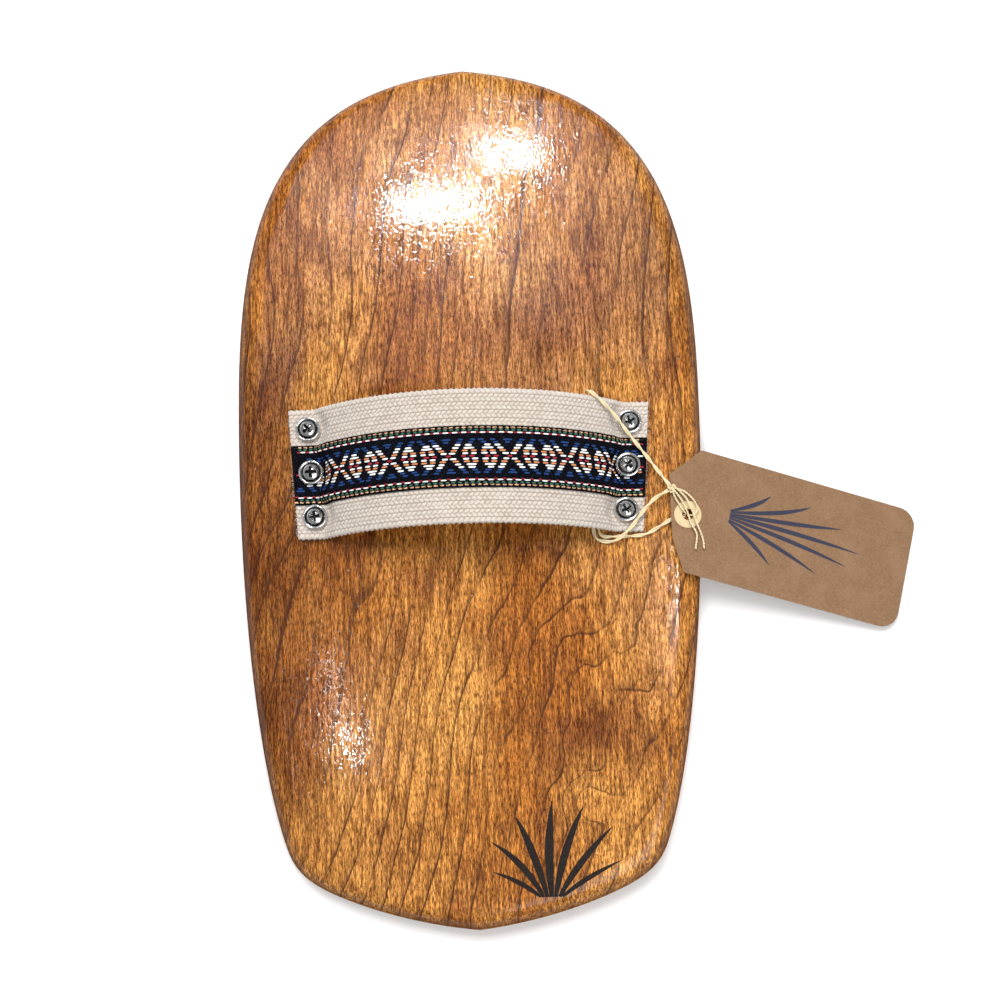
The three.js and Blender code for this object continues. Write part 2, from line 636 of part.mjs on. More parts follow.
// The two cut ends that run on from the knot over the patch and down the card.
const TAIL_LONG_POINTS = [
  nearTag(1.9, 4.6, 2.5),
  nearTag(3.9, 1.6, 2.9),
  nearTag(5.7, -2.6, 2.9),
  nearTag(7.2, -7.4, 2.2),
  nearTag(9.2, -11.6, 1.3),
  nearTag(8.5, -17.2, 1.2),
];
const TAIL_SHORT_POINTS = [
  nearTag(3.0, 5.3, 2.9),
  nearTag(5.6, 2.2, 3.2),
  nearTag(7.6, -2.4, 3.2),
  nearTag(9.3, -7.4, 2.3),
  nearTag(11.3, -12.6, 1.0),
  nearTag(11.8, -17.0, 0.9),
];

// ---------------------------------------------------------------------------------------------------
// Materials and assembly
// ---------------------------------------------------------------------------------------------------

function material(color, roughness, metalness = 0) {
  return new THREE.MeshStandardMaterial({ color, roughness, metalness, side: THREE.DoubleSide });
}

const VARNISHED_WOOD = material(0xa9713a, 0.18);
const COTTON_WEBBING = material(0xe9e1d6, 0.95);
const WOVEN_RIBBON = material(0x16171d, 0.85);
const BLACK_THREAD = material(0x101012, 0.9);
const CHROME = material(0xd4d6d8, 0.15, 1);
const KRAFT_CARD = material(0xb98a5e, 0.85);
const CREAM_PAPER = material(0xe3cf9d, 0.8);
const COTTON_STRING = material(0xefe2b8, 0.9);

const handplane = new THREE.Group();

function addPart(parent, name, geometry, finish) {
  const mesh = new THREE.Mesh(geometry, finish);
  mesh.name = name;
  parent.add(mesh);
}

addPart(handplane, "board", geometryOf(drilled(solidOf(boardBlank()))), VARNISHED_WOOD);
addPart(handplane, "strap_webbing", geometryOf(strapWebbing()), COTTON_WEBBING);
addPart(handplane, "strap_ribbon", geometryOf(strapRibbon()), WOVEN_RIBBON);
addPart(handplane, "ribbon_stitching_nose_side", geometryOf(ribbonStitching(1)), BLACK_THREAD);
addPart(handplane, "ribbon_stitching_tail_side", geometryOf(ribbonStitching(-1)), BLACK_THREAD);

for (const fastener of FASTENERS) {
  const stack = new THREE.Group();
  stack.applyMatrix4(fastener.frame);
  stack.translateZ(washerSeat(fastener.row));
  addPart(stack, "cup_washer_" + fastener.name, washerGeometry(), CHROME);
  addPart(stack, "screw_" + fastener.name, screwGeometry(), CHROME);
  handplane.add(stack);
}

const tag = new THREE.Group();
tag.position.copy(TAG_FRAME);
addPart(tag, "tag_card", geometryOf(tagCard()), KRAFT_CARD);
addPart(tag, "tag_patch_front", geometryOf(tagPatch(TAG_THICKNESS + GAP)), CREAM_PAPER);
addPart(tag, "tag_patch_back", geometryOf(tagPatch(-GAP - PATCH_THICKNESS)), CREAM_PAPER);
handplane.add(tag);

addPart(handplane, "string_loop", cordGeometry(LOOP_POINTS, CORD_RADIUS, 40), COTTON_STRING);
addPart(handplane, "string_return", cordGeometry(RETURN_POINTS, CORD_RADIUS, 14), COTTON_STRING);
addPart(handplane, "string_tie_right", cordGeometry(TIE_RIGHT_POINTS, STRAND_RADIUS, 9), COTTON_STRING);
addPart(handplane, "string_tie_left", cordGeometry(TIE_LEFT_POINTS, STRAND_RADIUS, 6), COTTON_STRING);
addPart(handplane, "string_tail_long", cordGeometry(TAIL_LONG_POINTS, STRAND_RADIUS, 7), COTTON_STRING);
addPart(handplane, "string_tail_short", cordGeometry(TAIL_SHORT_POINTS, STRAND_RADIUS, 7), COTTON_STRING);

const knot = new THREE.SphereGeometry(KNOT_RADIUS, 10, 8).translate(...KNOT_PLACE.toArray());
addPart(handplane, "string_knot", knot, COTTON_STRING);

export default handplane;
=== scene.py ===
"""The looks of a wooden bodysurfing handplane, its woven hand strap and its card swing tag.

Lengths in this script are millimetres in the row frame; MM turns them into metres when a mesh is made.
"""

import random
from functools import cache
from math import atan, atan2, copysign, cos, floor, hypot, pi, radians, sin, sqrt, tan

import bpy
import numpy as np
from mathutils import Matrix, Vector, noise


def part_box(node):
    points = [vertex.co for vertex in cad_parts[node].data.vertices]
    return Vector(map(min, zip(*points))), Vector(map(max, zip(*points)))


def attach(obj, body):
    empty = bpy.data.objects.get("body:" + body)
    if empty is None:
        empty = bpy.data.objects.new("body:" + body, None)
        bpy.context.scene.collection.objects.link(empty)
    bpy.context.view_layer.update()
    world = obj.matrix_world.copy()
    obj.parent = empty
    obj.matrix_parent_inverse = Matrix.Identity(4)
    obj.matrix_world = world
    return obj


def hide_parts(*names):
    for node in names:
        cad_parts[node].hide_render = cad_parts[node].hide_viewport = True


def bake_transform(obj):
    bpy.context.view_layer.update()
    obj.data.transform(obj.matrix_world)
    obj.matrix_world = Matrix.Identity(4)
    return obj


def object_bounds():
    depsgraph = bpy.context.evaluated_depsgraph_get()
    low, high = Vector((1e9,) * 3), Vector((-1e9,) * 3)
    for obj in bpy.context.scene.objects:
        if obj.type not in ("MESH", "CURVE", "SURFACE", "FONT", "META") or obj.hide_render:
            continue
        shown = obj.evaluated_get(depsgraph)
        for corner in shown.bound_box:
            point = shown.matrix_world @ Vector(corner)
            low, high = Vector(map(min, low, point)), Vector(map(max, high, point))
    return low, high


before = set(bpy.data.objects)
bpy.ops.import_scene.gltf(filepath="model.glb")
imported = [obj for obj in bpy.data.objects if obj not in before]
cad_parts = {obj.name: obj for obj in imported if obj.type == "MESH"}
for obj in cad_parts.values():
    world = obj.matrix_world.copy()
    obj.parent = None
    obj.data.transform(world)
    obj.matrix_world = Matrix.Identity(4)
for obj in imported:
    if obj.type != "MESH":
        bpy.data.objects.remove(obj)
cad_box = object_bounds()

MM = 0.001
chance = random.Random(7)


def cad(node):
    """The lowest and highest corner of a CAD node, in millimetres."""
    low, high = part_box(node)
    return Vector(low) / MM, Vector(high) / MM


# ---- Camera: above the deck, leaning back over the tail ----

CAMERA_AIM = Vector((11.3, -10.85, 19.0))
CAMERA_DISTANCE = 645.45
CAMERA_TILT = radians(11.5)
CAMERA_ROLL = radians(-1.428)
CAMERA_LENS = 61.03
CAMERA_SENSOR = 36


def make_camera():
    forward = Vector((0, sin(CAMERA_TILT), -cos(CAMERA_TILT)))
    level_up = Vector((0, cos(CAMERA_TILT), sin(CAMERA_TILT)))
    across = Vector((1, 0, 0))
    right = across * cos(CAMERA_ROLL) + level_up * sin(CAMERA_ROLL)
    up = level_up * cos(CAMERA_ROLL) - across * sin(CAMERA_ROLL)
    data = bpy.data.cameras.new("camera")
    data.lens = CAMERA_LENS
    data.sensor_width = CAMERA_SENSOR
    data.clip_start = 0.01
    camera = bpy.data.objects.new("camera", data)
    turn = Matrix((right, up, -forward)).transposed().to_4x4()
    camera.matrix_world = Matrix.Translation((CAMERA_AIM - forward * CAMERA_DISTANCE) * MM) @ turn
    bpy.context.collection.objects.link(camera)
    bpy.context.scene.camera = camera


make_camera()


# ---- Meshes ----


class Shape:
    """Points in millimetres, faces, and each face's material number, gathered for one mesh."""

    def __init__(self):
        self.points = []
        self.faces = []
        self.looks = []
        self.tones = []

    def grid(self, rows, ring=False, caps=False, look=0, tones=None):
        """Quads between rows of equal length; ring closes each row, caps close the first and last ring.
        tones gives one number per point, from 0 in a hollow to 1 on a crest; the webbing's and screws' looks
        darken the hollows with it as painted shade."""
        start = len(self.points)
        width = len(rows[0])
        self.tones.extend(tones or [1.0] * (width * len(rows)))
        for row in rows:
            self.points.extend(row)
        for i in range(len(rows) - 1):
            for j in range(width if ring else width - 1):
                k = (j + 1) % width
                a = start + i * width
                b = a + width
                self.faces.append((a + j, a + k, b + k, b + j))
                self.looks.append(look)
        if caps:
            last = start + (len(rows) - 1) * width
            self.faces.append(tuple(start + j for j in reversed(range(width))))
            self.faces.append(tuple(last + j for j in range(width)))
            self.looks.extend((look, look))

    def make(self, name, materials, body, replaces=(), slot=None, sharp=None):
        mesh = bpy.data.meshes.new(name)
        mesh.from_pydata([tuple(Vector(p) * MM) for p in self.points], [], self.faces)
        for material in materials:
            mesh.materials.append(material)
        mesh.polygons.foreach_set("material_index", self.looks)
        mesh.polygons.foreach_set("use_smooth", [True] * len(self.faces))
        if min(self.tones) < 1:
            mesh.attributes.new("tone", "FLOAT", "POINT").data.foreach_set("value", self.tones)
        mesh.update()
        if sharp:
            mesh.set_sharp_from_angle(angle=radians(sharp))
        made = bpy.data.objects.new(name, mesh)
        bpy.context.collection.objects.link(made)
        if body:
            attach(made, body)
        if replaces:
            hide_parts(*replaces)
        return made


def smooth_line(points, step):
    """Points about a step apart along a Catmull-Rom curve through the given ones."""
    points = [Vector(p) for p in points]
    ends = [points[0] * 2 - points[1], *points, points[-1] * 2 - points[-2]]
    line = []
    for before, start, end, after in zip(ends, ends[1:], ends[2:], ends[3:]):
        count = max(1, round((end - start).length / step))
        for i in range(count):
            t = i / count
            square = (2 * before - 5 * start + 4 * end - after) * t**2
            cube = (3 * start - before - 3 * end + after) * t**3
            line.append(0.5 * (2 * start + (end - before) * t + square + cube))
    line.append(points[-1])
    return line


def resample(points, count):
    """Points evenly spaced along a line in plan, its ends kept."""
    run = np.cumsum([0] + [(b - a).length for a, b in zip(points, points[1:])])
    even = np.linspace(0, run[-1], count)
    xs = np.interp(even, run, [p.x for p in points])
    ys = np.interp(even, run, [p.y for p in points])
    return [Vector((float(x), float(y))) for x, y in zip(xs, ys)]


def frames_along(line):
    """For each point of a line, two directions across it that turn as little as they can."""
    side = None
    frames = []
    for i, point in enumerate(line):
        along = (line[min(i + 1, len(line) - 1)] - line[max(i - 1, 0)]).normalized()
        if side is None:
            side = along.orthogonal()
        side = (side - along * side.dot(along)).normalized()
        frames.append((point, side, along.cross(side)))
    return frames


def full_turn(count):
    """Evenly spaced angles round a circle."""
    return [2 * pi * i / count for i in range(count)]


def tube(shape, line, radius, sides, taper=1.0):
    """A round cord along a line; taper is the share of the radius left at its end."""
    rings = []
    for i, (point, side, other) in enumerate(frames_along(line)):
        here = radius * (1 + (taper - 1) * i / (len(line) - 1))
        rings.append([point + (side * cos(a) + other * sin(a)) * here for a in full_turn(sides)])
    shape.grid(rings, ring=True, caps=True)


def twisted(shape, line, radius, pitch):
    """Two strands laid round each other along a line, as one cord of the given outer radius."""
    strand_radius = radius / 2
    travelled = [0.0]
    for a, b in zip(line, line[1:]):
        travelled.append(travelled[-1] + (b - a).length)
    frames = frames_along(line)
    for start in (0, pi):
        strand = []
        for (point, side, other), length in zip(frames, travelled):
            angle = start + 2 * pi * length / pitch
            strand.append(point + (side * cos(angle) + other * sin(angle)) * strand_radius)
        tube(shape, strand, strand_radius, sides=8)


def around(radius, angle, height=0):
    return Vector((radius * cos(angle), radius * sin(angle), height))


def lathe(shape, profile, place, sides):
    """A profile of (radius, height) turned round the axis of a fastener's frame."""
    rows = []
    for radius, height in profile:
        rows.append([place @ around(radius, angle, height) for angle in full_turn(sides)])
    shape.grid(rows, ring=True)


def smoothstep(low, high, value):
    """0 up to low, 1 from high on, and a soft step between them."""
    share = min(1.0, max(0.0, (value - low) / (high - low)))
    return share * share * (3 - 2 * share)


# ---- Node materials ----


class Look:
    """A node material built from short calls; positions in it are millimetres."""

    def __init__(self, name, color, roughness, **surface):
        self.material = bpy.data.materials.new(name)
        self.material.use_nodes = True
        self.tree = self.material.node_tree
        self.tree.nodes.clear()
        output = self.tree.nodes.new("ShaderNodeOutputMaterial")
        self.shader = self.tree.nodes.new("ShaderNodeBsdfPrincipled")
        self.tree.links.new(self.shader.outputs[0], output.inputs[0])
        self.set("Base Color", color)
        self.set("Roughness", roughness)
        for socket, value in surface.items():
            self.set(socket.replace("_", " ").title().replace("Ior", "IOR"), value)

    def set(self, socket, value):
        self._fill(self.shader.inputs[socket], value)

    def _fill(self, socket, value):
        if isinstance(value, bpy.types.NodeSocket):
            self.tree.links.new(value, socket)
        elif socket.type == "RGBA":
            socket.default_value = (*value[:3], 1)
        else:
            socket.default_value = value

    def node(self, kind, sockets, output=0, **settings):
        made = self.tree.nodes.new("ShaderNode" + kind)
        for key, value in settings.items():
            setattr(made, key, value)
        for key, value in sockets.items():
            self._fill(made.inputs[key], value)
        return made.outputs[output]

    def position(self, scale=(1, 1, 1), shift=(0, 0, 0)):
        """The place on the object in millimetres, stretched by a scale and then shifted."""
        place = self.node("TexCoord", {}, output="Object")
        sizes = tuple(s / MM for s in scale)
        return self.node("Mapping", {"Vector": place, "Scale": sizes, "Location": shift})

    def noise(self, scale, shift=(0, 0, 0), detail=2, roughness=0.5, distortion=0.0):
        """Cloudy noise; scale is its lumps per millimetre along each axis."""
        sockets = {"Vector": self.position(scale, shift), "Scale": 1.0, "Detail": detail}
        return self.node("TexNoise", {**sockets, "Roughness": roughness, "Distortion": distortion})

    def spot(self, centre, radii):
        """1 at the centre of an ellipse in plan, fading to 0 at its edge."""
        scale = (1 / radii[0], 1 / radii[1], 0)
        shift = (-centre[0] / radii[0], -centre[1] / radii[1], 0)
        place = self.position(scale, shift)
        distance = self.node("VectorMath", {0: place}, output=1, operation="LENGTH")
        ragged = self.noise((0.035, 0.02, 0), (centre[0], 0, 0), detail=3)
        distance = self.math("MULTIPLY_ADD", ragged, 1.5, self.math("SUBTRACT", distance, 0.75))
        return self.ramp(distance, 0.0, 1.0, 1.0, 0.0)

    def parts(self, vector):
        """The x, y and z of a vector."""
        made = self.tree.nodes.new("ShaderNodeSeparateXYZ")
        self.tree.links.new(vector, made.inputs[0])
        return made.outputs

    def facing_up(self):
        """1 where the surface faces up, 0 where it stands upright, -1 where it faces down."""
        return self.parts(self.node("TexCoord", {}, output="Normal"))[2]

    def finished(self, color, height, depth_mm):
        """The material, once its colour is set and its surface raised by a height."""
        self.set("Base Color", color)
        self.set("Normal", self.bump(height, depth_mm))
        return self.material

    def tone(self):
        """The number that the mesh carries for each point."""
        return self.node("Attribute", {}, output=2, attribute_name="tone")

    def math(self, operation, a, b=0.0, c=0.0):
        return self.node("Math", {0: a, 1: b, 2: c}, operation=operation)

    def ramp(self, value, low, high, start=0.0, end=1.0):
        """The value mapped smoothly from low..high onto start..end."""
        sockets = {"Value": value, "From Min": low, "From Max": high, "To Min": start, "To Max": end}
        return self.node("MapRange", sockets, interpolation_type="SMOOTHSTEP")

    def mix(self, share, a, b, blend="MIX"):
        """Colour a where the share is 0, and colour b where it is 1."""
        return self.node("Mix", {0: share, 6: a, 7: b}, output=2, data_type="RGBA", blend_type=blend)

    def bump(self, height, depth_mm, normal=None):
        sockets = {"Height": height, "Strength": 1.0, "Distance": depth_mm * MM}
        if normal is not None:
            sockets["Normal"] = normal
        return self.node("Bump", sockets)


# ---- String, made before the other pieces ----

LOOP_DIAMETER = 1.5
LOOP_PITCH = 13.0  # length in which its two strands turn once round each other
LOOP_STEP = 0.45
STRAND_DIAMETER = 0.8
STRAND_PITCH = 2.4
STRAND_STEP = 0.3

# The loop: from the knot over the strap's corner and nose edge, under the strap and back to the knot.
LOOP_POINTS = [
    (76, -7.6, 21.4), (71.6, -1.7, 22), (68.4, 2.5, 22.9), (65, 6.9, 24),
    (60.9, 12.1, 25.3), (56.6, 17.8, 27.4), (52.6, 22, 29.8), (48.9, 25.2, 32.2),
    (46.7, 27.2, 32.4), (45.4, 28.2, 30.2), (44.8, 27.6, 26.6), (44.8, 25, 23.6),
    (45.3, 19, 21.4), (46, 11, 19.9), (46.2, 2, 19.5), (46.2, -8, 19.45),
    (46.1, -17, 19.45), (46.5, -24, 19.45), (47.4, -26.7, 19.4), (50.2, -27.9, 19.4),
    (53.7, -28, 19.9), (56.6, -26.7, 21.2), (58.8, -25, 22.1), (60.9, -22.9, 22.3),
    (63.6, -19.4, 22.4), (66.3, -16, 22.3), (70.1, -12.2, 21.8), (75.2, -9.2, 21.4),
]
# The return: from the loop under the strap, out along its tail edge and under the tag to its hole.
RETURN_POINTS = [
    (48.2, -9, 19.4), (48.2, -15, 19.4), (48.2, -20.5, 19.4), (48.7, -24.6, 19.4),
    (50.9, -26.1, 19.35), (55, -26.1, 19.2), (61, -26, 19), (66.2, -25.4, 18.8),
    (71.2, -22.8, 18.65), (75.6, -20.2, 18.4), (78.9, -19.2, 18.2), (81.6, -18.6, 18.2),
]
# The tie on the tag: two strands up through the hole and round to the knot, and two cut ends.
TIE_RIGHT_POINTS = [
    (83, -18.8, 19.3), (83.3, -18.9, 20.9), (84.7, -18.8, 21.5), (86, -16.4, 21.3),
    (84.4, -12.8, 21.25), (81.2, -9.7, 21.4), (77.4, -8.3, 21.5),
]
TIE_LEFT_POINTS = [
    (81.5, -18.4, 19.3), (81.3, -18.1, 20.9), (80.4, -16.8, 21.5), (79.2, -14.8, 21.35),
    (77.9, -12.4, 21.3), (76.8, -9.5, 21.4),
]
TAIL_LONG_POINTS = [
    (76.9, -8.8, 21.9), (78, -10.2, 22.2), (80, -13.2, 22.4), (81.8, -17.4, 22.3),
    (83.3, -22.2, 21.6), (85.3, -26.4, 20.9), (84.6, -32, 20.8),
]
TAIL_SHORT_POINTS = [
    (77.4, -8, 22), (79.1, -9.5, 22.6), (81.7, -12.6, 22.8), (83.7, -17.2, 22.7),
    (85.4, -22.2, 21.8), (87.4, -27.4, 20.6), (87.9, -31.8, 20.5),
]

KNOT_CENTRE = Vector((76.6, -8.4, 21.5))
KNOT_SIZE = 1.05  # mean distance of its string from its centre
KNOT_STRING_RADIUS = 0.52
KNOT_PITCH = 2.2
KNOT_STEPS = 90
TREFOIL_SIZE = 2.2  # the same in the formula's own units


def string_look():
    look = Look("string", (0.85, 0.72, 0.45), 0.9)
    fibres = look.noise((5, 5, 5), detail=3)
    color = look.mix(look.ramp(fibres, 0.3, 0.7), (0.55, 0.44, 0.24), (0.90, 0.78, 0.52))
    return look.finished(color, fibres, 0.12)


STRING = string_look()


def make_string(name, points):
    """A string that lies on the board, along the given points."""
    line = smooth_line(points, LOOP_STEP)
    shape = Shape()
    twisted(shape, line, LOOP_DIAMETER / 2, LOOP_PITCH)
    made = shape.make(name, [STRING], None, (name,), "cotton_string")
    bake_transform(made)


def make_knot():
    """A small overhand knot: string along a trefoil."""
    line = []
    for i in range(KNOT_STEPS + 1):
        t = 2 * pi * i / KNOT_STEPS
        x = sin(t) + 2 * sin(2 * t)
        y = cos(t) - 2 * cos(2 * t)
        z = -1.1 * sin(3 * t)
        line.append(KNOT_CENTRE + Vector((x, y, z)) * (KNOT_SIZE / TREFOIL_SIZE))
    shape = Shape()
    twisted(shape, line, KNOT_STRING_RADIUS, KNOT_PITCH)
    shape.make("string_knot", [STRING], "tag", ("string_knot",), "cotton_string")


def make_strand(name, points):
    """A thinner piece of string that lies on the tag."""
    shape = Shape()
    twisted(shape, smooth_line(points, STRAND_STEP), STRAND_DIAMETER / 2, STRAND_PITCH)
    shape.make(name, [STRING], "tag", (name,), "cotton_string")


make_knot()
make_string("string_loop", LOOP_POINTS)
make_string("string_return", RETURN_POINTS)
make_strand("string_tie_right", TIE_RIGHT_POINTS)
make_strand("string_tie_left", TIE_LEFT_POINTS)
make_strand("string_tail_long", TAIL_LONG_POINTS)
make_strand("string_tail_short", TAIL_SHORT_POINTS)


# ---- Board ----

BOARD_LOW, BOARD_HIGH = cad("board")
HALF_WIDTH = (BOARD_HIGH.x - BOARD_LOW.x) / 2
HALF_LENGTH = (BOARD_HIGH.y - BOARD_LOW.y) / 2
THICKNESS = BOARD_HIGH.z - BOARD_LOW.z
DECK_CROWN = 2.4
DECK_EDGE, DECK_EDGE_SHARE = 8, 0.6  # radius, and the share of the board's wall it may take at most
UNDERSIDE_EDGE, UNDERSIDE_EDGE_SHARE = 3, 0.3
NOSE_START, NOSE_DROP, NOSE_ROCKER = 60, 6, 4
TAIL_START, TAIL_DROP = 105, 2
CURVE_STEPS = 72  # in each of the outline's four curves
SIDE_POINTS = 181
UNDERSIDE_RINGS, DECK_RINGS = 12, 34
UNDERSIDE_STEPS, DECK_STEPS = 5, 12  # round the edges

# The right side's curves from the nose tip to the tail tip, as shares of half the width and length.
RIGHT_SIDE = [
    ((0, 1), (0.797, 0.954), (1, 0.685), (1, 0.22)),
    ((1, 0.22), (1, -0.294), (0.894, -0.665), (0.783, -0.824)),
    ((0.783, -0.824), (0.752, -0.868), (0.694, -0.894), (0.583, -0.92)),
    ((0.583, -0.92), (0.414, -0.96), (0.198, -0.989), (0, -1)),
]


def ease_in(place, start, end):
    return max(0.0, (place - start) / (end - start)) ** 2


def deck_z(x, y):
    crown = DECK_CROWN * (x / HALF_WIDTH) ** 2
    nose = NOSE_DROP * ease_in(y, NOSE_START, HALF_LENGTH)
    tail = TAIL_DROP * ease_in(-y, TAIL_START, HALF_LENGTH)
    return THICKNESS - crown - nose - tail


def underside_z(y):
    return NOSE_ROCKER * ease_in(y, NOSE_START, HALF_LENGTH)


def bezier(a, b, c, d, t):
    weights = ((1 - t) ** 3, 3 * t * (1 - t) ** 2, 3 * t * t * (1 - t), t**3)
    return sum((Vector(p) * w for p, w in zip((a, b, c, d), weights)), Vector((0, 0)))


def board_outline():
    """Evenly spaced outline points, anticlockwise from the tail tip, each with its inward direction."""
    fine = [bezier(*curve, i / CURVE_STEPS) for curve in RIGHT_SIDE for i in range(CURVE_STEPS)]
    fine.append(Vector(RIGHT_SIDE[-1][3]))
    right = [Vector((p.x * HALF_WIDTH, p.y * HALF_LENGTH)) for p in reversed(fine)]
    side = resample(right, SIDE_POINTS)
    ring = side + [Vector((-p.x, p.y)) for p in reversed(side[1:-1])]
    outline = []
    for i, point in enumerate(ring):
        along = (ring[(i + 1) % len(ring)] - ring[i - 1]).normalized()
        outline.append((point, Vector((-along.y, along.x))))
    return outline


def board_rings():
    """The skin's rings from the middle of the underside, round the rail, to the middle of the deck."""
    outline = board_outline()

    def ring(top, angle, shrink=1.0):
        """At an angle up the edge's arc from the rail, shrunk towards the board's middle."""
        row = []
        for point, inward in outline:
            wall = deck_z(point.x, point.y) - underside_z(point.y)
            radius = min(UNDERSIDE_EDGE, UNDERSIDE_EDGE_SHARE * wall)
            if top:
                radius = min(DECK_EDGE, DECK_EDGE_SHARE * wall)
            plan = (point + inward * radius * (1 - cos(angle))) * shrink
            drop = radius * (1 - sin(angle))
            z = deck_z(plan.x, plan.y) - drop if top else underside_z(plan.y) + drop
            row.append(Vector((plan.x, plan.y, z)))
        return row

    quarter = pi / 2
    rings = [ring(False, quarter, shrink) for shrink in np.linspace(0.02, 0.98, UNDERSIDE_RINGS)]
    rings += [ring(False, quarter * i / UNDERSIDE_STEPS) for i in range(UNDERSIDE_STEPS, -1, -1)]
    rings += [ring(True, quarter * i / DECK_STEPS) for i in range(DECK_STEPS + 1)]
    rings += [ring(True, quarter, shrink) for shrink in np.linspace(0.98, 0.02, DECK_RINGS)]
    return rings


RING_WIDTH = 9.6
# Places where the rings are pushed aside: (centre, radii, push).
WOOD_FIGURES = [
    ((42, -80), (32, 40), 15),
    ((40, -124), (14, 12), 11),
]
# Darker and lighter areas: (centre, radii, strength, colour); the first darkens the whole left side of the
# board.
WOOD_TONE_PATCHES = [
    ((-90, -30), (62, 170), 0.9, (0.105, 0.026, 0.003)),
    ((68, 74), (42, 70), 0.6, (0.17, 0.055, 0.01)),
    ((32, 56), (34, 34), 0.65, (0.15, 0.043, 0.01)),
    ((42, -98), (36, 26), 0.7, (0.14, 0.038, 0.009)),
    ((-4, -84), (22, 60), 0.45, (0.58, 0.29, 0.075)),
    ((70, -30), (22, 90), 0.3, (0.58, 0.29, 0.075)),
    ((-40, -140), (50, 30), 0.45, (0.19, 0.06, 0.014)),
]


def wood_look():
    """Varnished plank: growth rings along the board, a cathedral figure, fine flecks, a wet gloss, and
    painted shade on the rails.
    """
    look = Look("varnished_wood", (0.5, 0.26, 0.1), 0.32, coat_roughness=0.03, specular_ior_level=0.0)
    look.set("Coat Weight", look.ramp(look.facing_up(), 0.3, 0.97, 0.0, 0.7))

    # Growth rings: x runs through them; slow noise bends them and knots of figure push them aside.
    slow = look.noise((0.011, 0.0045, 0.01), (3.1, 0.4, 0.2), detail=1.5, distortion=0.3)
    wobble = look.noise((0.05, 0.016, 0.03), (0.7, 2.9, 1.1), detail=3)
    x, y, _ = look.parts(look.position())
    across = look.math("MULTIPLY_ADD", y, -0.09, x)
    tailwards = look.math("MINIMUM", look.math("ADD", y, 10.0), 0.0)
    across = look.math("MULTIPLY_ADD", tailwards, -0.17, across)
    across = look.math("MULTIPLY_ADD", slow, 80.0, across)
    across = look.math("MULTIPLY_ADD", wobble, 8.0, across)
    for centre, radii, push in WOOD_FIGURES:
        across = look.math("MULTIPLY_ADD", look.spot(centre, radii), push, across)
    phase = look.math("FRACT", look.math("DIVIDE", across, RING_WIDTH))
    late_wood = look.math("MULTIPLY", look.math("POWER", phase, 4.0), 0.55)
    line = look.math("MAXIMUM", late_wood, look.ramp(phase, 0.88, 0.95))
    faint = look.noise((0.07, 0.008, 0.05), (5.5, 1.7, 0.3), detail=1)
    line = look.math("MULTIPLY", line, look.ramp(faint, 0.34, 0.60, 0.4, 1.0))

    # Broad colour: honey and red-brown clouds drawn out along the grain.
    cloud = look.noise((0.020, 0.009, 0.02), (1.3, 6.2, 0.5), detail=3, roughness=0.55)
    blotch = look.noise((0.055, 0.035, 0.04), (8.0, 3.0, 2.0), detail=5, roughness=0.65)
    wood = look.mix(look.ramp(cloud, 0.34, 0.66), (0.30, 0.100, 0.014), (0.50, 0.225, 0.050))
    wood = look.mix(look.ramp(blotch, 0.46, 0.72, 0.0, 0.75), wood, (0.165, 0.046, 0.011))
    for centre, radii, share, color in WOOD_TONE_PATCHES:
        wood = look.mix(look.math("MULTIPLY", look.spot(centre, radii), share), wood, color)

    # Fibres and vessels: short pale and dark dashes along the grain, and longer streaks under them.
    streak = look.noise((1.0, 0.07, 0.5), detail=3, roughness=0.65)
    fibre = look.noise((2.6, 0.42, 0.9), (4.0, 1.0, 0.0), detail=3, roughness=0.75)
    streaks = look.mix(look.ramp(streak, 0.34, 0.66), (0.50, 0.42, 0.36), (1.32, 1.36, 1.42))
    fibres = look.mix(look.ramp(fibre, 0.35, 0.64), (0.30, 0.22, 0.17), (1.66, 1.74, 1.82))
    wood = look.mix(1.0, wood, streaks, blend="MULTIPLY")
    wood = look.mix(1.0, wood, fibres, blend="MULTIPLY")
    wood = look.mix(look.math("MULTIPLY", line, 0.85), wood, (0.045, 0.013, 0.005))
    # Painted shade: where the surface turns down over the rails, the wood is darkened as if less lit.
    wood = look.mix(look.ramp(look.facing_up(), 0.95, 0.4, 0.0, 0.6), wood, (0.085, 0.028, 0.009))
    look.set("Base Color", wood)

    # Varnish: orange peel, and dust nibs that break the edges of the highlights into sparks.
    peel = look.noise((0.9, 0.8, 0.9), detail=1)
    nibs = look.noise((1.7, 1.4, 1.5), (9.0, 2.0, 4.0), detail=1)
    patches = look.noise((0.55, 0.5, 0.5), (2.0, 7.0, 1.0), detail=1)
    waves = look.math("MULTIPLY", look.math("SUBTRACT", peel, 0.5), look.ramp(patches, 0.48, 0.68, 1.0, 4.5))
    varnish = look.bump(look.ramp(nibs, 0.52, 0.80), 0.05, look.bump(waves, 0.022))
    look.set("Normal", varnish)
    look.set("Coat Normal", varnish)
    return look.material


def make_board():
    shape = Shape()
    shape.grid(board_rings(), ring=True, caps=True)
    shape.make("board_skin", [wood_look()], "handplane", ("board",), "varnished_wood")


make_board()


# ---- The strap's arch ----

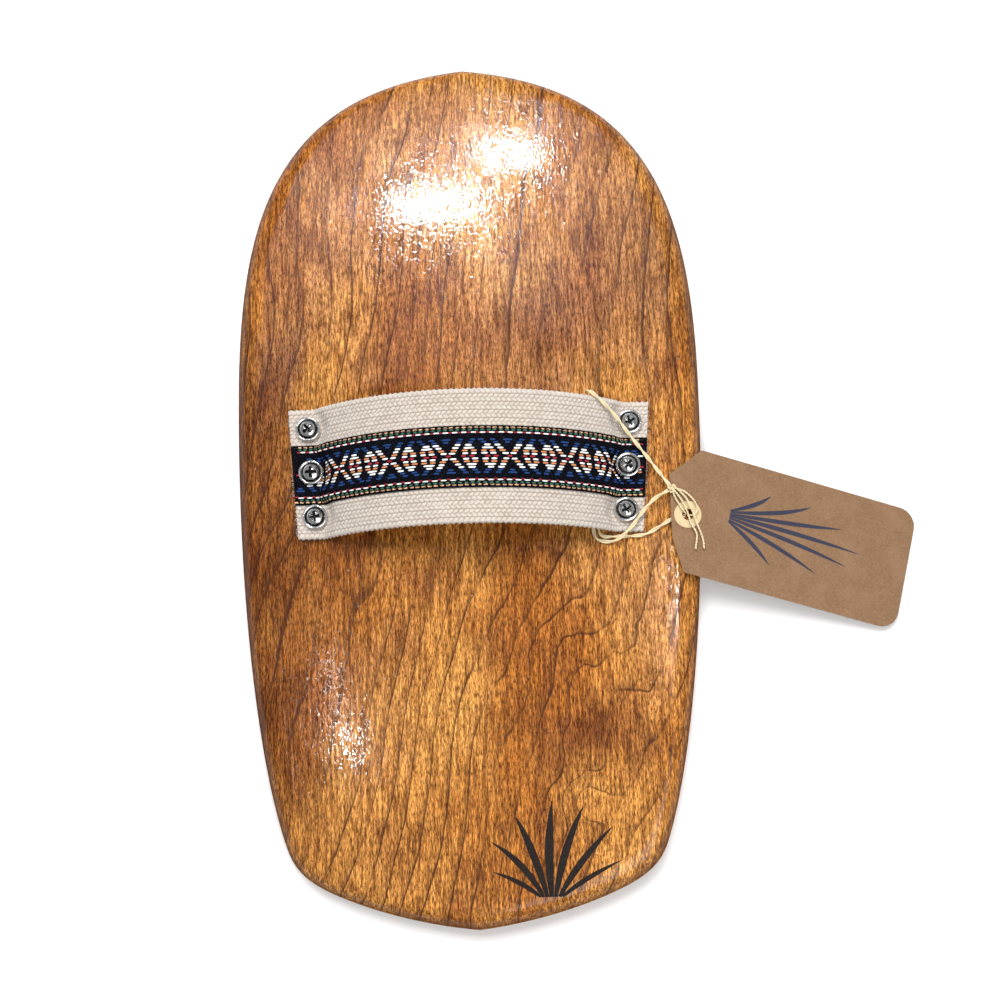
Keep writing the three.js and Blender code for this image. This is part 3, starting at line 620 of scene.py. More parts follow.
STRAP_LOW, STRAP_HIGH = cad("strap_webbing")
STRAP_Y = (STRAP_LOW.y + STRAP_HIGH.y) / 2  # its centre line
STRAP_WIDTH = STRAP_HIGH.y - STRAP_LOW.y
END_SLOPE = tan(radians(4.4))  # the strap's cut ends spread towards the nose
STRAP_HALF_SPAN = STRAP_HIGH.x - STRAP_WIDTH / 2 * END_SLOPE
WEBBING = 2.4
RIBBON = 0.7
SCREW_INSET = 7
SCREW_X = STRAP_HALF_SPAN - SCREW_INSET
SCREW_PITCH = 17.1
SEAT_SLOPE = 2 * DECK_CROWN * SCREW_X / HALF_WIDTH**2
SEAT_ANGLE = atan(SEAT_SLOPE)
SEAT_Z = deck_z(SCREW_X, STRAP_Y)
SEAT_LIFT = 0.25  # of the webbing's underside off the deck
FOOT_INSET = 0.9  # from the screw line to where the webbing leaves the deck
FOOT_RADIUS = 5.4
CLAMP_RADII = (4.9, 10.5)  # where a washer's squeeze on the webbing starts to fade, and where it ends
ARCH_STEPS, FOOT_STEPS = 60, 24
OVERRUN = 4  # of the arch's formula past the strap's end


def seat_z(x):
    """Height of the flat seat under the strap's end, at a distance from the middle line."""
    return SEAT_Z + SEAT_LIFT - SEAT_SLOPE * (x - SCREW_X)


@cache
def arch_column(tenths):
    """The webbing's underside at tenths of a millimetre across the strap: run, x, z and slope angle."""
    offset = tenths / 10
    foot_x = SCREW_X - FOOT_INSET + offset * END_SLOPE
    foot_z = seat_z(foot_x) + FOOT_RADIUS
    top = STRAP_HIGH.z - WEBBING
    depth = top - foot_z
    radius = (foot_x**2 + depth**2 - FOOT_RADIUS**2) / (2 * (depth + FOOT_RADIUS))
    centre = top - radius
    turn = atan2(foot_x, foot_z - centre)
    points = []
    for angle in np.linspace(0, turn, ARCH_STEPS):
        points.append((radius * sin(angle), centre + radius * cos(angle), angle))
    for angle in np.linspace(turn, SEAT_ANGLE, FOOT_STEPS)[1:]:
        x = foot_x - FOOT_RADIUS * sin(angle)
        points.append((x, foot_z - FOOT_RADIUS * cos(angle), angle))
    end = STRAP_HALF_SPAN + offset * END_SLOPE + OVERRUN
    points.append((end, seat_z(end), SEAT_ANGLE))
    xs, zs, angles = (np.array(column) for column in zip(*points))
    run = np.concatenate(([0], np.cumsum(np.hypot(np.diff(xs), np.diff(zs)))))
    return run, xs, zs, angles


def clamp_share(x, y):
    """0 under a washer, rising to 1 where the strap is free."""
    nearest = min(
        hypot(abs(x) - SCREW_X - row * SCREW_PITCH * END_SLOPE, y - STRAP_Y - row * SCREW_PITCH)
        for row in (-1, 0, 1)
    )
    return smoothstep(*CLAMP_RADII, nearest)


def on_strap(run, y, height):
    """The point at a run from the strap's middle, at y, a height over the webbing's underside."""
    runs, xs, zs, angles = arch_column(round((y - STRAP_Y) * 10))
    here = min(abs(run), runs[-1])
    x = float(np.interp(here, runs, xs))
    z = float(np.interp(here, runs, zs))
    angle = float(np.interp(here, runs, angles))
    free = clamp_share(x, y)
    seat = seat_z(x)
    z = seat + (z - seat) * free
    angle = SEAT_ANGLE + (angle - SEAT_ANGLE) * free
    x += height * sin(angle)
    return Vector((copysign(x, run), y, z + height * cos(angle)))


def end_run(y):
    """The run from the strap's middle to its cut end."""
    runs, xs, _, _ = arch_column(round((y - STRAP_Y) * 10))
    return float(np.interp(STRAP_HALF_SPAN + (y - STRAP_Y) * END_SLOPE, xs, runs))


# ---- Webbing ----

WEAVE_ALONG = 1.9
WEAVE_ACROSS = 1.55
WEAVE_DEPTH = 0.45
WEAVE_LEAN = 0.55
SELVEDGE_PITCH, SELVEDGE_WAVE = 2.1, 0.22
WEBBING_ROWS, TOP_COLUMNS, BOTTOM_COLUMNS = 400, 116, 20
FRAYS = 150  # at each end
FRAY_RADIUS = 0.11


def weave_crest(run, across):
    """The coarse weave, from 0 in its hollows to 1: staggered cords leaning one way, then the other."""
    row = across / WEAVE_ACROSS
    number = floor(row)
    lean = WEAVE_LEAN if number % 2 else -WEAVE_LEAN
    within = row - number - 0.5
    column = run / WEAVE_ALONG + (0.5 if number % 2 else 0) + lean * within
    cell = floor(column)
    bump = cos(pi * within) * sin(pi * (column - cell))
    lumps = noise.noise(Vector((cell * 1.7, number * 2.3, 0.5)))
    return min(1.0, bump**0.7 * (1 + 0.45 * lumps))


def webbing_look():
    look = Look("cotton_webbing", (0.85, 0.8, 0.74), 0.95, sheen_weight=0.25)
    fibres = look.noise((3.2, 3.2, 3.2), detail=4, roughness=0.65)
    tone = look.noise((0.35, 0.35, 0.35), (2, 5, 1))
    color = look.mix(look.ramp(fibres, 0.3, 0.68), (0.42, 0.36, 0.30), (0.68, 0.63, 0.57))
    color = look.mix(look.ramp(tone, 0.4, 0.7, 0.0, 0.35), color, (0.55, 0.49, 0.43))
    # Painted shade: darker where the mesh's tone is low, in the weave's hollows and on the strap's underside.
    color = look.mix(look.ramp(look.tone(), 0.1, 0.75), (0.31, 0.25, 0.21), color)
    return look.finished(color, fibres, 0.22)


def make_webbing():
    shape = Shape()
    half = STRAP_WIDTH / 2
    edge = WEBBING / 2
    top_columns = np.linspace(-half, half, TOP_COLUMNS)
    bottom_columns = np.linspace(half, -half, BOTTOM_COLUMNS)[1:-1]
    rows = []
    tones = []
    for share in np.linspace(-1, 1, WEBBING_ROWS):
        row = []
        for column in top_columns:
            y = STRAP_Y + float(column)
            run = share * end_run(y)
            inset = max(0.0, abs(column) - (half - edge)) / edge
            height = edge + edge * sqrt(max(0.0, 1 - inset**2))
            crest = weave_crest(run, column)
            # Tone: low in the weave's hollows, which the webbing's look darkens as painted shade.
            tones.append(crest + (1 - crest) * inset)
            pressed = 0.25 + 0.75 * clamp_share(on_strap(run, y, 0).x, y)
            height += WEAVE_DEPTH * (crest - 0.75) * (1 - inset) * pressed
            point = on_strap(run, y, height)
            wave = copysign(SELVEDGE_WAVE, column) * sin(2 * pi * run / SELVEDGE_PITCH)
            point.y += inset * wave
            row.append(point)
        for column in bottom_columns:
            y = STRAP_Y + float(column)
            row.append(on_strap(share * end_run(y), y, 0))
            # A middle tone on the underside, which paints it partly in shade.
            tones.append(0.5)
        rows.append(row)
    shape.grid(rows, ring=True, caps=True, tones=tones)
    add_frays(shape)
    shape.make("webbing", [webbing_look()], "handplane", ("strap_webbing",), "cotton_webbing")


def add_frays(shape):
    """Short fibres standing out of the strap's two cut ends."""
    for side in (-1, 1):
        for _ in range(FRAYS):
            y = STRAP_Y + chance.uniform(-0.49, 0.49) * STRAP_WIDTH
            start = on_strap(side * (end_run(y) - 0.6), y, chance.uniform(0.4, 2.1))
            out = side * chance.uniform(0.5, 1.7)
            reach = Vector((out, chance.uniform(-0.7, 0.7), chance.uniform(-0.5, 0.3)))
            curl = Vector((0, chance.uniform(-0.4, 0.4), chance.uniform(-0.1, 0.3)))
            end = start + reach
            end.z = max(end.z, deck_z(end.x, end.y) + 0.1)
            line = smooth_line([start, start + reach / 2 + curl, end], 0.4)
            tube(shape, line, FRAY_RADIUS, sides=4, taper=0.4)


make_webbing()


# ---- Ribbon with its woven pattern ----

RIBBON_LOW, RIBBON_HIGH = cad("strap_ribbon")
RIBBON_Y = (RIBBON_LOW.y + RIBBON_HIGH.y) / 2
RIBBON_WIDTH = RIBBON_HIGH.y - RIBBON_LOW.y
RIBBON_BASE = WEBBING + 0.05
RIBBON_TOP = RIBBON_BASE + RIBBON
REPEAT = 21.8  # length of the pattern's repeat
FIRST_CROSS = -6.9  # run of one cross from the strap's middle
WEFT_SKEW = -0.14  # shift along the ribbon for each millimetre across it
FLOAT_RISE, FLOAT_SINK = 0.30, 0.06
FLOAT_WIDTH = 0.8
FLOAT_GRID = (7, 5)
RIBBON_ROWS, RIBBON_COLUMNS = 300, 30
STITCH_PITCH, STITCH_LENGTH, STITCH_RISE, THREAD_RADIUS = 2.6, 2.1, 0.34, 0.16

WHITE, RED, ORANGE, BLUE, GREEN, TAN = range(1, 7)


def both_sides(threads):
    """Floats given for the ribbon's nose side, put on its tail side and its nose side."""
    return [(side * row, *rest) for side in (-1, 1) for row, *rest in threads]


# Each float of a motif: (row from the centre line, shift along the ribbon, length, colour).
ARM = [(1.05, 1.5, 2.4, WHITE), (2.05, 2.3, 2.4, ORANGE), (3.1, 3, 2.4, WHITE), (4.15, 3.8, 2.4, WHITE)]
OTHER_ARM = [(row, -shift, length, color) for row, shift, length, color in ARM]
CROSS = [(0, 0, 1.9, RED), *both_sides(OTHER_ARM + ARM)]
DIAMOND_SIDE = [
    (1.05, -1.6, 2.3, WHITE), (1.05, 1.5, 2.3, WHITE), (2.05, -1.5, 2.3, ORANGE), (2.05, 1.6, 2.3, ORANGE),
    (3.1, 0, 4.2, WHITE), (4.15, 0, 2.6, WHITE),
]
DIAMOND = [(0, -2.4, 1.9, RED), (0, 0.5, 2.2, RED), *both_sides(DIAMOND_SIDE)]
BLUE_HILL = both_sides([(5.2, 0, 2.2, BLUE), (6.2, 0, 3.7, BLUE)])
BLUE_STEP = both_sides([(5.2, -0.35, 2.2, BLUE), (6.2, 0.45, 2.2, BLUE)])

# Where the motifs stand in one repeat, and whether they are mirrored along the ribbon.
MOTIFS = [
    (CROSS, 0, 1),
    (DIAMOND, 7.7, 1), (DIAMOND, 14.4, -1),
    (BLUE_HILL, 0, 1),
    (BLUE_STEP, 4.7, 1), (BLUE_STEP, 9, 1), (BLUE_STEP, 12.8, -1), (BLUE_STEP, 17.1, -1),
]
# The borders: a spacing, and threads of (shift, row nosewards, row tailwards, length, width, colour).
BORDERS = [
    (3.3, [(0, 8.9, 8.9, 2.3, 0.62, WHITE), (1.65, 8.9, 8.55, 1.5, 0.62, RED)]),
    (2.2, [(0, 9.85, 9.85, 1.5, 0.72, GREEN), (0.15, 10.65, 10.65, 1.6, 0.72, TAN)]),
]
FLOAT_COLORS = {
    WHITE: (0.90, 0.90, 0.88),
    RED: (0.34, 0.012, 0.024),
    ORANGE: (0.62, 0.23, 0.085),
    BLUE: (0.005, 0.042, 0.17),
    GREEN: (0.035, 0.135, 0.075),
    TAN: (0.70, 0.40, 0.22),
}


def both_ways(reach, spacing):
    """The whole numbers whose spacing covers a reach to both sides."""
    count = int(reach / spacing) + 1
    return range(-count, count + 1)


def floats():
    """Every float of the ribbon as (run, row, length, width, colour)."""
    reach = end_run(RIBBON_Y)
    found = []
    for repeat in both_ways(reach, REPEAT):
        for motif, place, way in MOTIFS:
            for row, shift, length, color in motif:
                run = FIRST_CROSS + repeat * REPEAT + place + way * shift
                found.append((run, row, length, FLOAT_WIDTH, color))
    for side in (-1, 1):
        for spacing, threads in BORDERS:
            for i in both_ways(reach, spacing):
                for shift, nose_row, tail_row, length, width, color in threads:
                    row = nose_row if side > 0 else -tail_row
                    found.append((i * spacing + shift, row, length, width, color))
    skewed = [(run + row * WEFT_SKEW, row, length, width, color) for run, row, length, width, color in found]
    return [f for f in skewed if abs(f[0]) + f[2] / 2 < reach - 0.3]


def add_float(shape, run, row, length, width, color):
    """A raised thread: a small pillow whose ends dive into the ground weave."""
    along, across = FLOAT_GRID
    run += chance.uniform(-0.09, 0.09)
    row += chance.uniform(-0.05, 0.05)
    length *= chance.uniform(0.92, 1.08)
    rows = []
    for i in range(along):
        u = 2 * i / (along - 1) - 1
        line = []
        for j in range(across):
            v = 2 * j / (across - 1) - 1
            round_end = sqrt(max(0.0, 1 - abs(u) ** 3.2))
            place_row = row + v * width / 2 * (0.35 + 0.65 * round_end)
            rise = FLOAT_RISE * (1 - v * v) ** 0.5 * round_end - FLOAT_SINK
            line.append(on_strap(run + u * length / 2, RIBBON_Y + place_row, RIBBON_TOP + rise))
        rows.append(line)
    shape.grid(rows, look=color)


def ribbon_ground_look():
    look = Look("ribbon_ground", (0.004, 0.004, 0.006), 0.9, specular_ior_level=0.02)
    threads = look.noise((1.6, 3.4, 1.6), detail=3, roughness=0.6)
    color = look.mix(look.ramp(threads, 0.45, 0.8), (0.002, 0.002, 0.004), (0.020, 0.021, 0.027))
    return look.finished(color, threads, 0.2)


def float_look(number, color):
    look = Look(f"float_{number}", color, 0.6, specular_ior_level=0.3)
    threads = look.noise((1.4, 6.0, 3.0))
    dark = tuple(c * 0.45 for c in color)
    return look.finished(look.mix(look.ramp(threads, 0.25, 0.55), dark, color), threads, 0.12)


def make_ribbon():
    shape = Shape()
    half = RIBBON_WIDTH / 2
    columns = np.linspace(-half, half, RIBBON_COLUMNS)
    rows = []
    for share in np.linspace(-1, 1, RIBBON_ROWS):
        row = []
        for column in columns:
            y = RIBBON_Y + float(column)
            run = share * end_run(y)
            edge = smoothstep(half - 1.4, half - 0.2, abs(column))
            buckle = edge * 0.16 * sin(run * 1.1 + noise.noise(Vector((run * 0.1, column, 0))) * 4)
            height = RIBBON_TOP + 0.05 * noise.noise(Vector((run, column, 3.0))) + buckle - 0.3 * edge**4
            row.append(on_strap(run, y, height))
        for column in (half, 0.0, -half):
            y = RIBBON_Y + column
            row.append(on_strap(share * end_run(y), y, RIBBON_BASE))
        rows.append(row)
    shape.grid(rows, ring=True, caps=True)
    for thread in floats():
        add_float(shape, *thread)
    looks = [ribbon_ground_look()] + [float_look(number, color) for number, color in FLOAT_COLORS.items()]
    shape.make("ribbon", looks, "handplane", ("strap_ribbon",), "woven_ribbon")


def make_stitching(node):
    """One row of lockstitches along the ribbon's edge."""
    low, high = cad(node)
    y = (low.y + high.y) / 2
    reach = end_run(y) - 1.5
    shape = Shape()
    count = int(reach / STITCH_PITCH)
    for i in range(-count, count + 1):
        stitch = []
        for way, rise in ((-1, 0.0), (0, STITCH_RISE), (1, 0.0)):
            stitch.append(on_strap(i * STITCH_PITCH + way * STITCH_LENGTH / 2, y, RIBBON_TOP + rise))
        tube(shape, smooth_line(stitch, 0.35), THREAD_RADIUS, sides=6)
    thread = Look("thread", (0.01, 0.01, 0.012), 0.7)
    shape.make(node + "_thread", [thread.material], "handplane", (node,), "black_thread")


make_ribbon()
make_stitching("ribbon_stitching_nose_side")
make_stitching("ribbon_stitching_tail_side")


# ---- Screws and cup washers ----

WASHER_PROFILE = [
    (1.7, -0.2), (4.5, -0.2), (4.7, 0), (4.8, 0.4), (4.78, 1.2),
    (4.65, 1.65), (4.4, 1.88), (4.15, 1.88), (3.9, 1.7), (3.5, 1.2),
    (3.2, 0.8), (1.7, 0.3), (1.7, -0.2),
]
WASHER_LIFT = 0.45
HEAD_RADIUS = 2.95
HEAD_EDGE_Z = 1.75
HEAD_DOME = 1.15
HEAD_RINGS, SCREW_SIDES = 34, 96
RECESS_DEPTH = 1.5
RECESS_HALF_WIDTH = (0.38, 0.56)  # at its floor and at its rim, like its reach
RECESS_REACH = (1.85, 2.15)
SHANK_RADIUS, THREAD_CREST, SCREW_THREAD_PITCH = 1.1, 1.4, 1.1


def metal_look(name, color, roughness, shaded_recess=False):
    """Chrome with fine scuffs; the screws' chrome is darkened where the mesh's tone is low, as painted shade
    in the cross recess.
    """
    look = Look(name, color, roughness, metallic=1.0)
    scuffs = look.noise((1.1, 1.1, 1.1), detail=3)
    look.set("Roughness", look.ramp(scuffs, 0.3, 0.8, roughness, roughness + 0.16))
    look.set("Normal", look.bump(scuffs, 0.03))
    if shaded_recess:
        # Painted shade: the cross recess, where the tone is low, is darkened to near black.
        look.set("Base Color", look.mix(look.ramp(look.tone(), 0.3, 0.8), (0.02, 0.02, 0.02), color))
    return look.material


def head_surface(turn, place):
    """The screw's domed head with a cross recess: rings from the middle outwards, and each point's tone."""
    rings = []
    tones = []
    for radius in np.linspace(0.02, 1, HEAD_RINGS) * HEAD_RADIUS:
        ring = []
        for angle in full_turn(SCREW_SIDES):
            z = HEAD_EDGE_Z + HEAD_DOME * (1 - (radius / HEAD_RADIUS) ** 2) ** 0.8
            arm = min(abs(radius * sin(angle - turn)), abs(radius * cos(angle - turn)))
            cut = (1 - smoothstep(*RECESS_HALF_WIDTH, arm)) * (1 - smoothstep(*RECESS_REACH, radius))
            z -= RECESS_DEPTH * cut * (1 - 0.35 * radius / HEAD_RADIUS)
            ring.append(place @ around(radius, angle, z))
            tones.append(1 - cut)
        rings.append(ring)
    return rings, tones


def make_fastener(side, row, metal, screw_metal):
    sign = 1 if side == "right" else -1
    step = {"nose": 1, "middle": 0, "tail": -1}[row]
    x = SCREW_X + step * SCREW_PITCH * END_SLOPE
    lift = WEBBING + WASHER_LIFT + (RIBBON if row == "middle" else 0)
    centre = Vector((sign * x, STRAP_Y + step * SCREW_PITCH, seat_z(x) + lift))
    place = Matrix.Translation(centre) @ Matrix.Rotation(sign * SEAT_ANGLE, 4, "Y")
    name = f"{side}_{row}"

    washer = Shape()
    lathe(washer, WASHER_PROFILE, place, sides=64)
    washer.make("washer_" + name, [metal], "handplane", ("cup_washer_" + name,), "chrome", sharp=50)

    low, _ = cad("screw_" + name)
    tip = low.z - centre.z
    screw = Shape()
    rings, tones = head_surface(chance.uniform(0, pi / 2), place)
    screw.grid(rings[::-1], ring=True, tones=tones[::-1])
    shank = [(HEAD_RADIUS, HEAD_EDGE_Z), (HEAD_RADIUS, 1.6), (1.45, 0.5), (SHANK_RADIUS, -1.0)]
    turns = int((-tip - 5.0) / SCREW_THREAD_PITCH)
    for i in range(turns):
        start = -2.0 - i * SCREW_THREAD_PITCH
        shank += [(SHANK_RADIUS, start), (THREAD_CREST, start - 0.2), (SHANK_RADIUS, start - 0.4)]
    shank += [(0.9, tip + 2.2), (0.02, tip + 0.1)]
    lathe(screw, shank, place, sides=SCREW_SIDES)
    screw.make("oval_head_" + name, [screw_metal], "handplane", ("screw_" + name,), "chrome", sharp=40)


washer_metal = metal_look("chrome_washer", (0.78, 0.78, 0.78), 0.10)
screw_metal = metal_look("chrome_screw", (0.66, 0.66, 0.66), 0.10, shaded_recess=True)
for side in ("left", "right"):
    for row in ("nose", "middle", "tail"):
        make_fastener(side, row, washer_metal, screw_metal)


# ---- Swing tag ----

CARD_LOW, CARD_HIGH = cad("tag_card")
CARD_THICKNESS = 0.4
TAG_LENGTH = 95
TAG_WIDTH = 48
TAG_TIP_WIDTH = 24.4
TAG_CLIP = 7
TAG_CORNER = 7
TAG_CORNER_STEPS = 8
TAG_YAW = radians(-15)
TAG_TIP = Vector((CARD_LOW.x, -14.8, CARD_HIGH.z - CARD_THICKNESS))
TAG_BEND = 9.4  # from the tip to the bend over the board's rail
BEND_SOFTNESS = 5.0
TAG_FALL = (TAG_TIP.z - CARD_LOW.z) / (CARD_HIGH.x - CARD_LOW.x - TAG_BEND)
TAG_HOLE = Vector((6.3, -3.6))
TAG_HOLE_RADIUS = 2.2
PATCH_RADIUS = 5.2
PATCH_THICKNESS = 0.3
PATCH_GAP = 0.02  # of glue, under a patch
EDGE_CELLS, CARD_CELLS = 119, 40  # along each long edge, and from edge to edge
TAG_ALONG = Vector((cos(TAG_YAW), sin(TAG_YAW)))
TAG_ACROSS = Vector((-TAG_ALONG.y, TAG_ALONG.x))


def card_z(x):
    """Height of the card's underside over its tip, with the bend eased over a few millimetres."""
    past = x - TAG_BEND
    if past <= -BEND_SOFTNESS:
        return 0.0
    if past >= BEND_SOFTNESS:
        return -TAG_FALL * past
    return -TAG_FALL * (past + BEND_SOFTNESS) ** 2 / (4 * BEND_SOFTNESS)


def on_card(plan, height):
    """A plan point, measured from the middle of the tip edge, at a height over the card's underside."""
    wave = 0.18 * sin(plan.dot(TAG_ALONG) / 21) * (plan.dot(TAG_ACROSS) / TAG_WIDTH)
    return TAG_TIP + Vector((plan.x, plan.y, card_z(plan.x) + wave + height))


def tag_edge(side):
    """One long edge of the card, from the tip to the end of its round far corner."""
    half = TAG_WIDTH / 2

    def at(u, v):
        return TAG_ALONG * u + TAG_ACROSS * v * side

    skew = 0 if side > 0 else TAG_TIP_WIDTH / 2 * tan(-TAG_YAW)
    points = [Vector((0, side * TAG_TIP_WIDTH / 2)), at(TAG_CLIP + skew, half)]
    centre = (TAG_LENGTH - TAG_CORNER, half - TAG_CORNER)
    for i in range(TAG_CORNER_STEPS + 1):
        angle = pi / 2 * (1 - i / TAG_CORNER_STEPS)
        points.append(at(centre[0] + TAG_CORNER * cos(angle), centre[1] + TAG_CORNER * sin(angle)))
    return points


def cut_hole(made):
    """Cuts the string's hole through a piece of the tag."""
    cutter_shape = Shape()
    centre = TAG_TIP + Vector((TAG_HOLE.x, TAG_HOLE.y, 0))
    line = [centre + Vector((0, 0, -5)), centre + Vector((0, 0, 5))]
    tube(cutter_shape, line, TAG_HOLE_RADIUS, sides=48)
    mesh = bpy.data.meshes.new("cutter")
    mesh.from_pydata([tuple(p * MM) for p in cutter_shape.points], [], cutter_shape.faces)
    cutter = bpy.data.objects.new("cutter", mesh)
    bpy.context.collection.objects.link(cutter)
    cut = made.modifiers.new("hole", "BOOLEAN")
    cut.object = cutter
    cut.operation = "DIFFERENCE"
    evaluated = made.evaluated_get(bpy.context.evaluated_depsgraph_get())
    made.data = bpy.data.meshes.new_from_object(evaluated)
    made.modifiers.clear()
    bpy.data.objects.remove(cutter)
    made.data.set_sharp_from_angle(angle=radians(40))


def card_look():
    look = Look("kraft_card", (0.42, 0.26, 0.14), 0.8)
    pulp = look.noise((1.3, 1.3, 1.3), detail=5, roughness=0.7)
    cloud = look.noise((0.12, 0.12, 0.12), detail=3)
    specks = look.noise((2.4, 0.9, 2.4), (3, 3, 3))
    color = look.mix(look.ramp(pulp, 0.3, 0.7), (0.16, 0.083, 0.038), (0.24, 0.134, 0.068))
    color = look.mix(look.ramp(cloud, 0.4, 0.7, 0.0, 0.3), color, (0.28, 0.165, 0.092))
    color = look.mix(look.ramp(specks, 0.68, 0.78, 0.0, 0.5), color, (0.22, 0.12, 0.06))
    return look.finished(color, pulp, 0.05)


def patch_look():
    look = Look("patch_paper", (0.72, 0.57, 0.33), 0.8)
    pulp = look.noise((1.6, 1.6, 1.6), detail=4)
    return look.finished(look.mix(pulp, (0.50, 0.37, 0.20), (0.66, 0.53, 0.32)), pulp, 0.05)


def make_card():
    left = resample(tag_edge(1), EDGE_CELLS + 1)
    right = resample(tag_edge(-1), EDGE_CELLS + 1)
    shares = [j / CARD_CELLS for j in range(CARD_CELLS + 1)]
    rows = []
    for a, b in zip(left, right):
        top = [on_card(a.lerp(b, share), CARD_THICKNESS) for share in shares]
        bottom = [on_card(b.lerp(a, share), 0) for share in shares]
        rows.append(top + bottom)
    shape = Shape()
    shape.grid(rows, ring=True, caps=True)
    cut_hole(shape.make("card", [card_look()], "tag", ("tag_card",), "kraft_card"))


def make_patch(node, bottom, material):
    """A round paper patch with a soft edge, bent with the card."""
    profile = [(0.01, 0), (PATCH_RADIUS, 0), (PATCH_RADIUS, 0.22)]
    for radius in (PATCH_RADIUS - 0.15, 3.2, 0.01):
        profile.append((radius, PATCH_THICKNESS))
    rows = []
    for radius, height in profile:
        circle = [TAG_HOLE + Vector((cos(a), sin(a))) * radius for a in full_turn(72)]
        rows.append([on_card(plan, bottom + height) for plan in circle])
    shape = Shape()
    shape.grid(rows, ring=True, caps=True)
    cut_hole(shape.make(node + "_paper", [material], "tag", (node,), "cream_paper"))


make_card()
patch = patch_look()
make_patch("tag_patch_front", CARD_THICKNESS + PATCH_GAP, patch)
make_patch("tag_patch_back", -PATCH_THICKNESS - PATCH_GAP, patch)


# ---- A generic sprig of beach grass, burned into the deck and printed on the tag ----

BLADE_STEPS = 24
# Each blade as (foot, bend, tip, widest width), on a square two units across.
BLADES = [
    ((-0.1, -1), (-0.16, 0), (-0.05, 0.95), 0.13),
    ((-0.04, -1), (0.1, 0), (0.42, 0.8), 0.12),
    ((-0.16, -1), (-0.38, 0.05), (-0.62, 0.62), 0.12),
    ((0.02, -1), (0.34, -0.25), (0.86, 0.38), 0.11),
    ((-0.22, -1), (-0.52, -0.25), (-1, 0.12), 0.11),
    ((0.06, -1), (0.42, -0.62), (0.98, -0.3), 0.09),
    ((-0.26, -1), (-0.56, -0.66), (-0.98, -0.48), 0.09),
]


def blade_strip(foot, bend, tip, width):
    """Rows of three points across one tapering blade."""
    foot, bend, tip = Vector(foot), Vector(bend), Vector(tip)
    strip = []
    for i in range(BLADE_STEPS + 1):
        t = i / BLADE_STEPS
        point = foot * (1 - t) ** 2 + bend * 2 * t * (1 - t) + tip * t * t
        along = ((bend - foot) * (1 - t) + (tip - bend) * t).normalized()
        across = Vector((-along.y, along.x)) * width / 2 * sin(pi * (0.12 + 0.88 * t)) ** 0.8
        strip.append((point + across, point, point - across))
    return strip


def sprig(lay):
    shape = Shape()
    for blade in BLADES:
        shape.grid([[lay(p) for p in row] for row in blade_strip(*blade)])
    return shape


def make_burned_sprig():
    centre = Vector((29.0, -140.5))
    size = 18.0

    def lay(p):
        plan = centre + Vector((p.x * 1.35, p.y)) * size
        return Vector((plan.x, plan.y, deck_z(plan.x, plan.y) + 0.08))

    char = Look("char", (0.008, 0.005, 0.004), 0.5, specular_ior_level=0.2)
    soot = char.noise((1.2, 1.2, 1.2), detail=3)
    char.set("Base Color", char.mix(char.ramp(soot, 0.3, 0.75), (0.003, 0.002, 0.002), (0.018, 0.010, 0.006)))
    sprig(lay).make("burned_sprig", [char.material], "handplane", slot="varnished_wood")


def make_printed_sprig():
    centre = TAG_ALONG * 50 + TAG_ACROSS * 0.5
    size = 17.0

    def lay(p):
        plan = centre + TAG_ALONG * (p.y * size * 1.6) - TAG_ACROSS * (p.x * size * 0.8)
        return on_card(plan, CARD_THICKNESS + 0.03)

    ink = Look("ink", (0.02, 0.022, 0.045), 0.7)
    sprig(lay).make("printed_sprig", [ink.material], "tag", slot="kraft_card")


make_burned_sprig()
make_printed_sprig()


# ---- Floor and light ----


def make_floor():
    bpy.ops.mesh.primitive_plane_add(size=6, location=(0, 0, cad_box[0].z))
    floor = bpy.context.object
    floor.name = "floor"
    floor.data.materials.append(Look("floor", (0.93, 0.93, 0.93), 0.9).material)


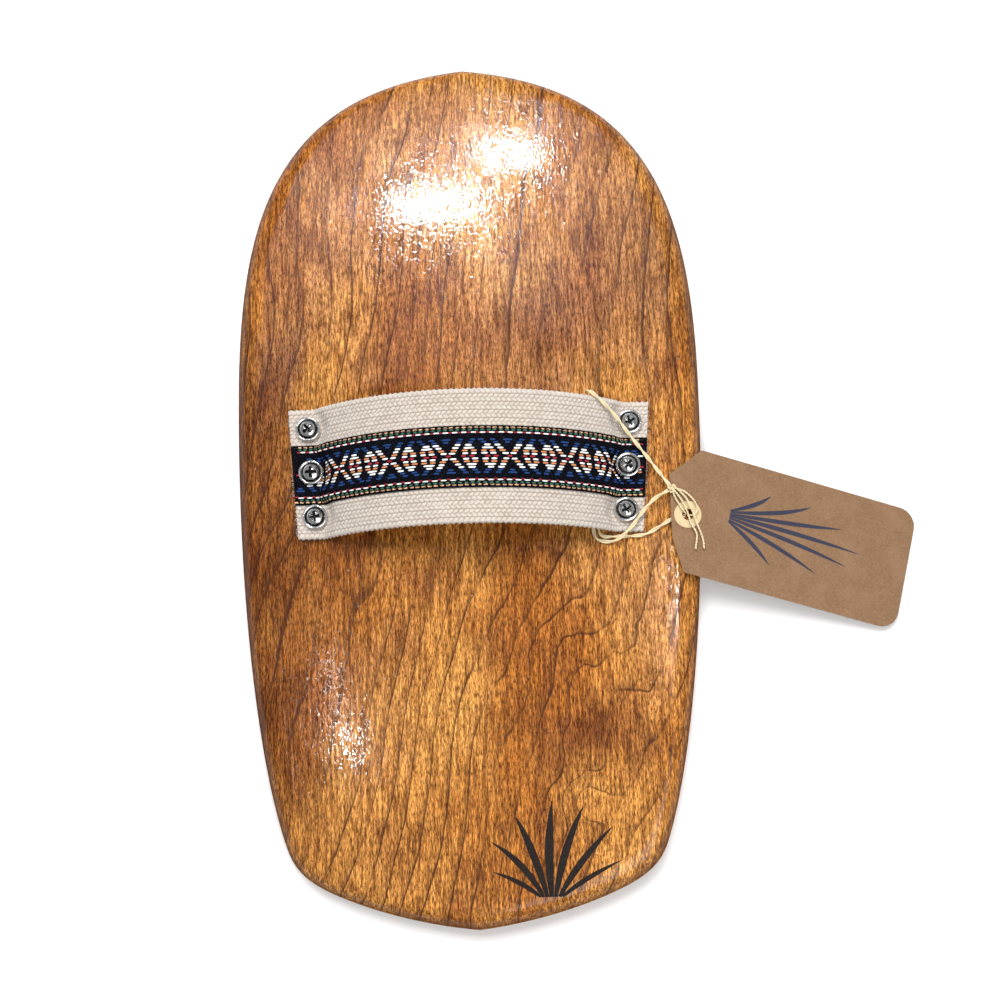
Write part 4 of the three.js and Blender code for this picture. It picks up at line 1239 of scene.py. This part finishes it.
def area_light(name, place, aim, sizes, power, turn=0):
    """A rectangular lamp, with its place and aim in millimetres and its sizes in metres.
    turn is the direction in plan of its first size, in degrees from +X."""
    data = bpy.data.lights.new(name, "AREA")
    data.shape = "RECTANGLE"
    data.size, data.size_y = sizes
    data.energy = power
    lamp = bpy.data.objects.new(name, data)
    lamp.location = Vector(place) * MM
    back = (Vector(place) - Vector(aim)).normalized()
    first = Vector((cos(radians(turn)), sin(radians(turn)), 0))
    first = (first - back * first.dot(back)).normalized()
    lamp.rotation_euler = Matrix((first, back.cross(first), back)).transposed().to_euler()
    bpy.context.collection.objects.link(lamp)
    return lamp


LAMP_DISTANCE = 1200
# Small lamps that the varnish mirrors as highlights: (name, x, y, sizes, power, turn).
MIRRORED_LAMPS = [
    ("nose_lamp", -11, 109, (0.12, 0.04), 8.0, 0),
    ("nose_far_lamp", 19, 131, (0.08, 0.03), 3.5, -6),
    ("tail_left_lamp", -46, -104, (0.045, 0.006), 0.30, 108),
    ("tail_left_glow", -51, -86, (0.12, 0.010), 0.16, 108),
    ("right_rail_lamp", 81.5, -51, (0.07, 0.006), 0.45, 90),
    ("right_rail_far_lamp", 83, -80, (0.03, 0.004), 0.1, 90),
]


def lamp_mirrored_at(name, x, y, sizes, power, turn):
    """A small lamp placed where the varnish shows it to the camera at a point of the deck."""
    step = 1.0
    slope_x = (deck_z(x + step, y) - deck_z(x - step, y)) / (2 * step)
    slope_y = (deck_z(x, y + step) - deck_z(x, y - step)) / (2 * step)
    normal = Vector((-slope_x, -slope_y, 1)).normalized()
    point = Vector((x, y, deck_z(x, y)))
    to_camera = (bpy.context.scene.camera.location / MM - point).normalized()
    towards = normal * 2 * normal.dot(to_camera) - to_camera
    lamp = area_light(name, point + towards * LAMP_DISTANCE, point, sizes, power, turn)
    lamp.visible_diffuse = False


def make_light():
    world = bpy.data.worlds.new("studio")
    world.use_nodes = True
    background = world.node_tree.nodes["Background"]
    background.inputs["Color"].default_value = (1, 1, 1, 1)
    background.inputs["Strength"].default_value = 0.30
    bpy.context.scene.world = world
    key = area_light("key", (-200, 650, 1500), (0, 0, 0), (1.0, 1.0), 34)
    key.visible_glossy = False  # a soft ceiling: it lights the board without veiling the varnish
    area_light("fill", (700, -800, 1200), (0, 0, 0), (1.2, 1.2), 15)
    for lamp in MIRRORED_LAMPS:
        lamp_mirrored_at(*lamp)


bpy.context.scene.view_settings.view_transform = "Standard"
make_floor()
make_light()
